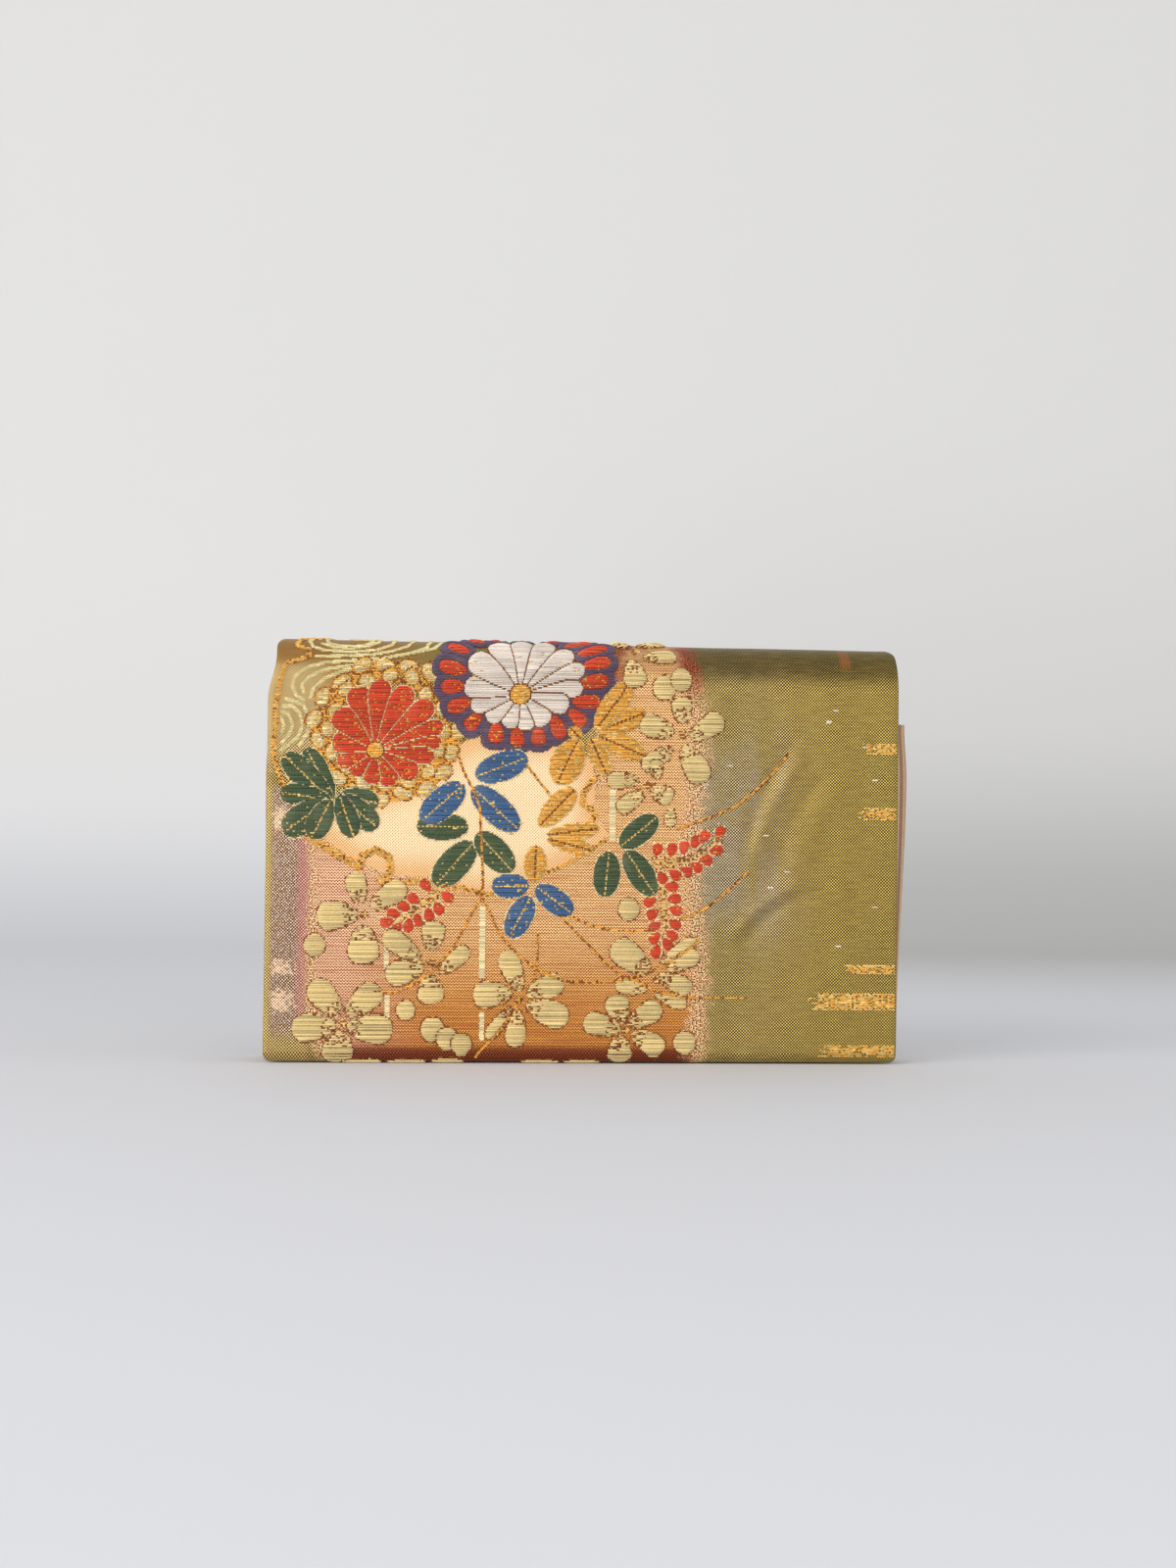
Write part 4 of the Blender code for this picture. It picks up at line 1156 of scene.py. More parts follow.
def stitch_tree() -> Tree:
    """The tree that sets stitches along a seam's route.

    Returns:
        The tree.
    """
    sockets = {
        "Stitch Pitch": "NodeSocketFloat",
        "Stitch Size": "NodeSocketVector",
        "Finish": "NodeSocketMaterial",
    }
    tree = Tree("running stitches", sockets)
    outputs = tree.start.outputs
    curve = tree.node("GeometryNodeMeshToCurve", {}, {0: outputs["Geometry"]})
    pitch = {"Curve": curve.outputs[0], "Length": outputs["Stitch Pitch"]}
    even = tree.node("GeometryNodeResampleCurve", {"mode": "LENGTH"}, pitch)
    ball = tree.node("GeometryNodeMeshUVSphere", {}, {"Segments": 6, "Rings": 5, "Radius": 1.0})
    tangent = tree.node("GeometryNodeInputTangent", {}, {})
    turn = tree.node("FunctionNodeAlignRotationToVector", {"axis": "X"}, {"Vector": tangent.outputs[0]})
    placed = tree.node(
        "GeometryNodeInstanceOnPoints",
        {},
        {
            "Points": even.outputs[0],
            "Instance": ball.outputs[0],
            "Rotation": turn.outputs[0],
            "Scale": outputs["Stitch Size"],
        },
    )
    smoothed = tree.node("GeometryNodeSetShadeSmooth", {}, {0: placed.outputs[0]})
    tree.close(smoothed.outputs[0])
    return tree


class Motif(IntEnum):
    """The groups of figures on the cloth, from the lowest to the highest."""

    GROUND = 0
    RED_FLOWER = 1
    WHITE_FLOWER = 2
    LEAVES = 3
    SPRAYS = 4
    BLOSSOMS = 5
    STEMS = 6


@dataclass(frozen=True)
class Dress:
    """How a figure is woven."""

    thread: Thread
    edge: Thread | None = None
    halo: Thread | None = None
    vein: Thread | None = None
    fleck: Thread | None = None
    fleck_share: float = 0.0
    fleck_reach: float = 99.0
    hatch: Thread | None = None
    crown: float = 0.50
    base: float = 0.12
    ragged: float = 0.0
    bare: float = 0.0
    ridge: int = 0


@dataclass(frozen=True)
class Drop:
    """A petal or leaf, from its root to its tip."""

    root: Place
    tip: Place
    width: float
    taper: float = 0.65
    blunt: float = 2.0

    def box(self) -> Extent:
        """The least and most across and up."""
        (ax, ay), (bx, by), w = self.root, self.tip, self.width / 2 + 1
        return min(ax, bx) - w, max(ax, bx) + w, min(ay, by) - w, max(ay, by) + w

    def measure(self, x: np.ndarray, y: np.ndarray) -> Measure:
        """How deep places lie in the figure, how far along it and how far off its axis.

        Args:
            x: Draft millimetres across.
            y: Draft millimetres up.

        Returns:
            The depth inside, the way along and the way off.
        """
        (ax, ay), (bx, by) = self.root, self.tip
        length = math.hypot(bx - ax, by - ay)
        ux, uy = (bx - ax) / length, (by - ay) / length
        along = (x - ax) * ux + (y - ay) * uy
        off = (y - ay) * ux - (x - ax) * uy

        def half(share: np.ndarray) -> np.ndarray:
            """Half the figure's width.

            Args:
                share: The share of the length.

            Returns:
                Half the width there.
            """
            share = np.clip(share, 1e-4, 1 - 1e-4)
            swell = 1 - self.taper + self.taper * share
            return self.width / 2 * np.sqrt(1 - np.abs(2 * share - 1) ** self.blunt) * swell

        share = along / length
        slope = (half(share + 0.02) - half(share - 0.02)) / (0.04 * length)
        near = (half(share) - np.abs(off)) / np.sqrt(1 + slope**2)
        past = np.maximum(-along, along - length)
        return np.where(past > 0, -np.hypot(past, off), near), along, off


@dataclass(frozen=True)
class Disc:
    """A round or oval figure."""

    centre: Place
    radii: Place

    def box(self) -> Extent:
        """The least and most across and up."""
        (cx, cy), (rx, ry) = self.centre, self.radii
        return cx - rx - 1, cx + rx + 1, cy - ry - 1, cy + ry + 1

    def measure(self, x: np.ndarray, y: np.ndarray) -> Measure:
        """How deep places lie in the figure, how far out from its middle, and the angle in mm.

        Args:
            x: Draft millimetres across.
            y: Draft millimetres up.

        Returns:
            The depth inside, the way out and the way round.
        """
        (cx, cy), (rx, ry) = self.centre, self.radii
        far = np.hypot((x - cx) / rx, (y - cy) / ry)
        size = min(rx, ry)
        return (1 - far) * size, far * size, np.arctan2(y - cy, x - cx) * size


@dataclass(frozen=True)
class Stroke:
    """A line of even width through a route of places."""

    route: Route
    width: float

    def box(self) -> Extent:
        """The least and most across and up.

        Returns:
            Left, right, low and high.
        """
        xs, ys = zip(*self.route)
        w = self.width
        return min(xs) - w, max(xs) + w, min(ys) - w, max(ys) + w

    def measure(self, x: np.ndarray, y: np.ndarray) -> Measure:
        """How deep places lie in the line, how far along it, and how far off its middle.

        Args:
            x: Draft millimetres across.
            y: Draft millimetres up.

        Returns:
            The depth inside, the way along and the way off.
        """
        best = np.full(x.shape, 1e9)
        along = np.zeros(x.shape)
        gone = 0.0
        for (ax, ay), (bx, by) in zip(self.route, self.route[1:]):
            dx, dy = bx - ax, by - ay
            length = math.hypot(dx, dy)
            share = np.clip(((x - ax) * dx + (y - ay) * dy) / length**2, 0, 1)
            off = np.hypot(x - ax - share * dx, y - ay - share * dy)
            along = np.where(off < best, gone + share * length, along)
            best = np.minimum(best, off)
            gone += length
        return self.width / 2 - best, along, best


@dataclass(frozen=True)
class Bar:
    """A straight bar: left, right, low and high."""

    sides: Extent

    def box(self) -> Extent:
        """The least and most across and up."""
        return self.sides

    def measure(self, x: np.ndarray, y: np.ndarray) -> Measure:
        """How deep places lie in the bar, how far along it, and how far up it.

        Args:
            x: Draft millimetres across.
            y: Draft millimetres up.

        Returns:
            The depth inside, the way along and the way up.
        """
        left, right, low, high = self.sides
        inside = (y > low) & (y < high) & (x < right)
        return np.where(inside, np.minimum(x - left, 9), -1.0), x - left, y - low


THREADS = list(Thread)


@dataclass
class Loom:
    """The weaver's draft: which thread floats over each place, row by row."""

    cloth: Cloth
    pitch: float = 0.55
    cell: float = 0.25
    top: float = 168.0
    radius: float = 0.00027
    edge_width: float = 0.42
    halo_width: float = 0.55
    halo_share: float = 0.62
    vein_half: float = 0.34
    vein_depth: float = 0.7
    margin: float = 0.8
    stride: float = 1.3
    slack: float = 0.06
    rng: np.random.Generator = field(default_factory=lambda: np.random.default_rng(7))

    def __post_init__(self) -> None:
        """Sets the draft up with no thread raised."""
        rows, columns = int(self.top / self.pitch), int(DRAFT_WIDTH / self.cell)
        self.y = (np.arange(rows)[:, None] + 0.75) * self.pitch * np.ones((1, columns))
        self.x = (np.arange(columns)[None] + 0.5) * self.cell * np.ones((rows, 1))
        self.thread = np.full((rows, columns), -1)
        self.motif = np.zeros((rows, columns), int)
        self.rise = np.zeros((rows, columns))
        self.sunk_shaded_row = np.zeros((rows, columns))
        dice = self.rng.random((rows, columns // 3 + 1))
        self.dice = np.repeat(dice, 3, axis=1)[:, :columns]
        self.ends = self.rng.random((rows, columns // 12 + 1)).repeat(12, axis=1)[:, :columns]

    def lay(self, motif: Motif, figure: Drop | Disc | Stroke | Bar, dress: Dress) -> None:
        """Weaves one figure over what is there.

        Args:
            motif: The group that it belongs to.
            figure: Its outline.
            dress: How it is woven.
        """
        left, right, low, high = figure.box()
        rows = slice(max(int(low / self.pitch) - 1, 0), max(int(high / self.pitch) + 2, 0))
        columns = slice(max(int(left / self.cell) - 1, 0), max(int(right / self.cell) + 2, 0))
        x, y = self.x[rows, columns], self.y[rows, columns]
        dice = self.dice[rows, columns]
        deep, along, off = figure.measure(x, y)
        deep = deep - dress.ragged * self.ends[rows, columns]
        chosen = np.where(deep > 0, THREADS.index(dress.thread), -1)

        def choose(where: np.ndarray, thread: Thread | None) -> None:
            """Changes the thread at some places."""
            if thread is not None:
                chosen[where] = THREADS.index(thread)

        solid = deep > 0
        choose(solid & ((along - np.abs(off) * 0.8) % 1.9 < 0.8), dress.hatch)
        choose(solid & (dice < dress.fleck_share) & (along < dress.fleck_reach), dress.fleck)
        dash = along % 1.5 < 1.1
        middle = (np.abs(off) < self.vein_half) & (deep > self.vein_depth)
        choose(middle & dash, dress.vein)
        choose(solid & (deep < self.edge_width), dress.edge)
        around = (deep <= 0) & (deep > -self.halo_width)
        choose(around & (dice < self.halo_share), dress.halo)
        chosen[solid & (dice > 1 - dress.bare) & (along < dress.fleck_reach)] = -1
        laid = chosen >= 0
        # Every ridge-th row is sunk a little and marked for a darker tone, which is painted shade in
        # the sunken rows.
        sunk_shaded_row = np.zeros_like(x)
        if dress.ridge:
            sunk_shaded_row[:: dress.ridge] = 1.0
        crown = (dress.base + dress.crown * np.sqrt(np.clip(deep / 1.5, 0, 1))) * (1 - 0.22 * sunk_shaded_row)
        crown = crown * np.clip((y - 0.1) / 3.6, 0.2, 1.0)
        self.thread[rows, columns][laid] = chosen[laid]
        self.motif[rows, columns][laid] = motif
        self.rise[rows, columns][laid] = crown[laid]
        self.sunk_shaded_row[rows, columns][laid] = sunk_shaded_row[laid]

    def runs(self) -> dict[tuple[Motif, Thread], list[tuple[int, int, int]]]:
        """The floats of each thread in each motif, as a row and its first and last columns.

        Returns:
            Lists of floats by motif and thread.
        """
        found: dict[tuple[Motif, Thread], list[tuple[int, int, int]]] = {}
        margin = int(self.margin / self.cell)
        for row in range(1, self.thread.shape[0]):
            key = self.thread[row] * 16 + self.motif[row]
            cuts = np.flatnonzero(np.diff(key)) + 1
            for first, last in zip((0, *cuts), (*cuts, len(key))):
                first, last = max(first, margin), min(last, len(key) - margin)
                if last - first < 1 or self.thread[row, first] < 0:
                    continue
                owner = Motif(self.motif[row, first]), THREADS[self.thread[row, first]]
                found.setdefault(owner, []).append((row, first, last))
        return found

    def routes(self, runs: list[tuple[int, int, int]], name: str) -> bpy.types.Mesh:
        """Open routes over the cloth for some floats.

        Args:
            runs: The floats' rows and columns.
            name: The mesh's name.

        Returns:
            A mesh of edges with each float's tone.
        """
        xs, ys, lifts, tones, edges = [], [], [], [], []
        for row, first, last in runs:
            start, end = first * self.cell + self.slack, last * self.cell - self.slack
            count = max(2, math.ceil((end - start) / self.stride) + 1)
            spots = np.linspace(start, end, count)
            columns = np.clip((spots / self.cell).astype(int), first, last - 1)
            lift = self.rise[row, columns].copy()
            lift[[0, -1]] *= 0.6
            level = self.y[row, 0] + self.rng.uniform(-0.05, 0.05)
            edges += [(len(xs) + i, len(xs) + i + 1) for i in range(count - 1)]
            xs.extend(spots)
            ys.extend([level] * count)
            lifts.extend(lift)
            # A sunken row's tone is lowered: painted shade.
            tones.extend([self.rng.random() - 0.4 * self.sunk_shaded_row[row, first]] * count)
        points = self.cloth.point(np.array(xs), np.array(ys), np.array(lifts) * MM)
        mesh = bpy.data.meshes.new(name)
        mesh.from_pydata(points.tolist(), edges, [])
        store(mesh, "tone", np.array(tones))
        return mesh


def oval(centre: Place, radii: Place, degrees: float) -> Place:
    """The place on an oval at an angle."""
    angle = math.radians(degrees)
    return centre[0] + radii[0] * math.cos(angle), centre[1] + radii[1] * math.sin(angle)


CORD_ROUTES = (
    (1.9, ((18, 152.4), (9, 150.4), (7, 144.5), (11, 142.4), (11.4, 139.4), (8, 137.8), (3.6, 136.4))),
    (1.8, ((3.4, 136), (3, 131), (3.4, 127), (2.4, 121), (2.8, 115), (2.2, 109), (2.8, 102),
      (5.5, 95))),
    (2.8, ((14.5, 77.5), (19.5, 74.2), (25, 70.8), (32, 67.2))),
    (2.6, ((32, 67), (33, 71), (37.5, 73), (42, 70.6), (42.6, 66), (40.5, 63))),
    (1.7, ((38.5, 62.5), (45, 61.4), (52, 62.6), (60, 60.6), (67, 60.4), (74, 58.4), (81, 58))),
    (2.2, ((113, 99), (109, 94), (108.4, 90), (112.4, 87.4), (113, 84.6), (109.5, 82))),
    (1.5, ((97, 66), (104, 69.4), (110, 73), (117, 77.6))),
)  # fmt: skip
WATER_LINES = (
    ((26.2, 153), (27.6, 151.6), (30, 151.5), (33.2, 150.4), (34, 148), (30.8, 145.5),
     (26.2, 144.6), (21.5, 144.9), (18.2, 146.4), (17.6, 150), (19.8, 153.4)),
    ((35, 153.4), (36.8, 151), (35.8, 148), (32.2, 144.8), (26.2, 143.2), (19.8, 143.8), (16, 146)),
    ((40.6, 154), (42, 150.5), (40.5, 146), (35.5, 142.8), (26.2, 141.5), (17, 142), (12.6, 143.8),
     (11.5, 147.8), (13.5, 152.4)),
    ((47.6, 154), (48.8, 151), (46.2, 145.2), (40, 142), (33.2, 140.4), (21.5, 139.6),
     (13.8, 139.2)),
    ((54.6, 154), (54.8, 150.6), (52.8, 144.5), (47, 141.4), (37.8, 139), (26.2, 137.8),
     (17.2, 137), (10.8, 134.8), (7.8, 132.2), (7.5, 129), (9.5, 125.5), (12.2, 124.2)),
    ((60.6, 154), (59.4, 149.8), (55.5, 144.2), (48, 141.6)),
    ((37.8, 138), (26.5, 136), (17.5, 134.4), (12.8, 132), (10.8, 129.5), (11.8, 126.5)),
    ((33.8, 136.4), (24.2, 134.2), (18, 131.4), (15, 128.4), (14.4, 125)),
    ((5.2, 122), (8, 122), (10.5, 119.8), (12, 115.8), (10.4, 111.5), (7, 108.5), (4.6, 107)),
    ((4.8, 120), (7, 119), (8.6, 115.5), (7.4, 112), (5, 109.4)),
    ((6, 124.4), (12, 122.4), (14.4, 117.5), (13.6, 112.6), (10.8, 108.4)),
    ((4.6, 117.6), (5.6, 115.5), (5, 113)),
)  # fmt: skip
RED_TIPS = (
    (29.5, 129.2), (38, 131.8), (47.8, 129.5), (56.2, 124.2), (60.2, 116.6), (59.8, 110.6),
    (57.2, 105.2), (51.2, 98.6), (42.8, 95.2), (35.5, 95.5), (28.8, 98.5), (23.8, 102.6),
    (22, 110.6), (23, 120.4),
)  # fmt: skip
WHITE_TIPS = (
    (77.5, 148.5), (87, 151), (96.6, 149.6), (104.6, 143.8), (109, 137), (108.4, 130),
    (103.6, 123.6), (96.2, 117.2), (89, 114.6), (82.2, 115.4), (75, 118), (69.2, 122.6),
    (66.6, 130), (68.2, 140.4),
)  # fmt: skip
RED_DROPS = (
    (73.5, 148, 68.4, 153.6, 5.4), (67.8, 141.8, 60.6, 146.4, 5.2), (67, 134.6, 57.2, 137.2, 5.4),
    (67, 129.6, 58.6, 129.6, 5.2), (69.2, 124.8, 61.4, 121.6, 5.5), (72.8, 120.2, 67.8, 115.2, 5.2),
    (78.4, 117.2, 78, 110.2, 5.8), (85, 115.8, 86, 109, 5.2), (93, 116, 92.8, 109.8, 5.4),
    (98, 120, 101.2, 112.2, 5.5), (103.6, 122.2, 109, 117, 5.2), (104.5, 125, 114.6, 125.2, 5.4),
    (107, 131, 117.2, 132.8, 5.4), (108.2, 137, 118.2, 139.8, 5.2), (106.6, 141.6, 117.4, 147, 5.2),
    (102, 146, 112.4, 152.4, 5.2), (96, 150, 102.8, 157.4, 5.2), (87, 152, 88, 160.2, 5.4),
    (79, 150.5, 76, 158.2, 5.4),
)  # fmt: skip
BLUE_LEAVES = (
    (71.5, 98.8, 89.2, 105.6, 10), (67.2, 95.8, 53, 83.2, 10.2), (70.5, 94.8, 86.4, 80.6, 10),
    (90.2, 61.2, 77.6, 61, 8.4), (93, 60.8, 105.4, 51.8, 8.4), (90.8, 57.4, 83.8, 43.6, 9),
)  # fmt: skip
GREEN_LEAVES = (
    (69, 81.2, 51.4, 81.4, 9.4), (71, 75.8, 58, 61.2, 10.6), (72.2, 79, 84.4, 66.2, 10),
    (122, 75.2, 134.6, 85.6, 8.6), (118, 73.2, 116.6, 57.8, 9.4), (124, 73.5, 134, 58.6, 9.2),
)  # fmt: skip
IVY_LEAVES = (
    (22.5, 90.5, 13.2, 107.4, 8.4), (21.8, 89.8, 5.6, 105.2, 10), (21.8, 89.8, 4.6, 92.4, 8.4),
    (21, 89.8, 6, 78.6, 11.4), (21.8, 89.8, 15.4, 76.8, 9.6), (24.8, 91.5, 38.2, 89, 8.6),
    (24.8, 91.5, 37.8, 80.6, 9.6), (24.8, 91.5, 29.8, 77.4, 8.6),
)  # fmt: skip
GOLD_LEAVES = (
    (108, 112, 103.6, 116.4, 5.2), (111, 113, 117, 99.6, 7.6), (113.4, 113.6, 130, 106.8, 9.4),
    (113, 114.8, 130.4, 121.8, 9.6), (112.8, 115.4, 125, 132.4, 10), (107, 112.6, 99.6, 96.4, 12.8),
    (93.5, 81.8, 106, 95, 9.4), (96.2, 78.8, 114.6, 81.4, 7), (96.2, 77.6, 112.8, 73.4, 6.6),
    (92.6, 75.4, 92.2, 62.6, 9),
)  # fmt: skip
PETALS = (
    (126, 147.2, 119.4, 152.6, 6.6), (127.6, 148.6, 138, 153.8, 7), (129.6, 141.6, 141.4, 142, 7),
    (125.5, 140, 126.8, 130.2, 9), (143.2, 118.4, 142.8, 127.4, 8), (140.2, 115, 128.4, 118.4, 9),
    (146, 113, 157.4, 120.6, 8.8), (143.6, 110.6, 151, 97.8, 10), (140, 109.5, 129.4, 102.4, 7.4),
    (128.2, 98.2, 117, 98, 7), (130, 94.2, 120.8, 87.8, 6.8), (132.2, 95.6, 140, 91.8, 7.4),
    (139, 89.8, 139.4, 82.2, 4.6), (134.6, 98.6, 134, 105.6, 5.6), (32.5, 54.2, 30, 65.4, 8),
    (31.8, 51, 17.6, 50, 11.4), (33.5, 47.2, 33.8, 33.8, 12), (36, 53, 47.6, 61.4, 9),
    (57, 38.6, 57.8, 48.8, 9), (54.6, 33.7, 41.6, 29.2, 9.6), (60, 30.8, 69.6, 39.8, 6.6),
    (56.5, 30.4, 57.2, 20.2, 10.2), (53.2, 35.6, 40.6, 44.6, 8.4), (26, 16, 16.4, 27.8, 10.4),
    (28.2, 16.2, 39.4, 26, 10.2), (24.8, 13, 9.6, 11.4, 10.8), (28.3, 12.8, 44, 11, 11.4),
    (25.9, 11.2, 25.2, 0.4, 12), (87.8, 25, 82.2, 38.8, 8.4), (85, 24.3, 71.4, 23.4, 10.4),
    (90, 23.6, 102.6, 28.6, 9.2), (90, 20.4, 104.4, 15, 10.4), (86.8, 18.8, 86, 5.6, 8),
    (85.2, 19.6, 76.4, 8.6, 5.4), (132.4, 31.6, 119.8, 41.8, 11), (136.4, 35, 148.6, 43.4, 5.2),
    (138.8, 32.2, 149.8, 38.6, 7), (132.2, 26, 120.8, 27.4, 6.8), (135.6, 30.6, 147.4, 25.6, 7.4),
    (134.6, 24.4, 145.6, 20.4, 5.8), (123.2, 13.6, 120.6, 23.8, 9.4), (125.2, 13, 136.6, 20.4, 8.8),
    (123, 11.6, 109.8, 14.8, 8.8), (122.4, 9.8, 122.5, 1, 9.6), (126.4, 10.6, 137.8, 4.8, 9),
)  # fmt: skip
FOOT_PETALS = (
    (26.6, 0.8, 40.6, 0.9, 2.8), (42, 0.8, 56, 0.8, 2.6), (57.4, 1, 68.6, 1, 3.2),
    (88, 0.8, 101.6, 0.8, 2.6), (102.6, 0.8, 115.6, 0.8, 2.6),
)  # fmt: skip
BUDS = (
    (136.8, 130.4, 4.1), (142.7, 133.2, 3.7), (17, 40.2, 3.7), (48.4, 18.2, 3.3), (57.6, 11.6, 4.1),
    (62.8, 8.4, 3.8), (67.6, 6.6, 3.6), (125.2, 53.5, 3.7), (145.2, 7.4, 3.9),
)  # fmt: skip
HEARTS = (
    (127, 145), (143.2, 114.4), (131.2, 96.6), (33.6, 50.6), (56.8, 34.4), (26.6, 13.6),
    (87.4, 21.8), (135.2, 29), (124.4, 11.6),
)  # fmt: skip
SPRAY_DROPS = (
    (134.8, 74, 70), (140, 74.2, 74), (144.2, 75, 78), (148.2, 77, 70), (151.4, 78.9, 60),
    (156.7, 80.4, 55), (155.6, 74.2, 20), (152, 70.8, -5), (148.5, 68.2, -18), (145, 66.8, -30),
    (141.2, 65.6, -35), (136.6, 64.6, -60), (140, 61.4, -5), (141, 57.2, 0), (141.6, 53.2, -15),
    (141.2, 48.5, -40), (140.2, 44.6, -50), (138.8, 41.4, -55), (132.6, 56.2, 205),
    (133.6, 52, 210), (134.4, 47.6, 215), (134.4, 43.6, 230), (134.8, 39, 250), (54.8, 61, 130),
    (62.2, 57.2, -40), (50.8, 56.2, 140), (59.2, 53.2, -60), (47.3, 53.7, 150), (56, 51, -75),
    (43.8, 51.2, 170), (52, 49, -95), (41.6, 48.2, 190), (49, 47.3, -95), (45, 46, -120),
)  # fmt: skip
STEM_ROUTES = (
    ((142, 81.6), (148, 83.6), (154.5, 86), (162, 89.5), (170.2, 96), (175.2, 101.2),
     (181.2, 108.8)),
    ((143, 50.2), (151.2, 53.4), (158.5, 58.8), (167, 67)),
    ((101.8, 50.5), (109, 43.2), (116.5, 35.5), (123.2, 30.2), (128.2, 28.6), (135.5, 24.8),
     (143, 23.4), (151.5, 22.9), (166.5, 23)),
    ((104.2, 51), (111.5, 48), (118.8, 46.2), (126.2, 45.9), (133.5, 46.3)),
    ((123.2, 29.6), (130, 30.5), (137.2, 33.8), (143.5, 37.8), (149.6, 42.4)),
    ((74.5, 56.8), (80.5, 44.2), (87.2, 37), (94.8, 31.6), (103.2, 28.4), (113, 28), (123.2, 28.8)),
    ((87.6, 22), (84, 15.6), (78, 8.2), (72.6, 2.6)),
    ((73.8, 57), (69.5, 49.2), (64.5, 39.8), (59, 33.2), (52, 27.4), (45, 24.3), (38, 24.6)),
    ((65, 107), (67, 100.8), (70.6, 94.2), (73, 88), (73.4, 80), (74.2, 68), (74.2, 58)),
    ((88.8, 103.2), (93.2, 97.6), (97.4, 92.4)),
    ((93.6, 45), (93.6, 36), (92.4, 28)),
)  # fmt: skip


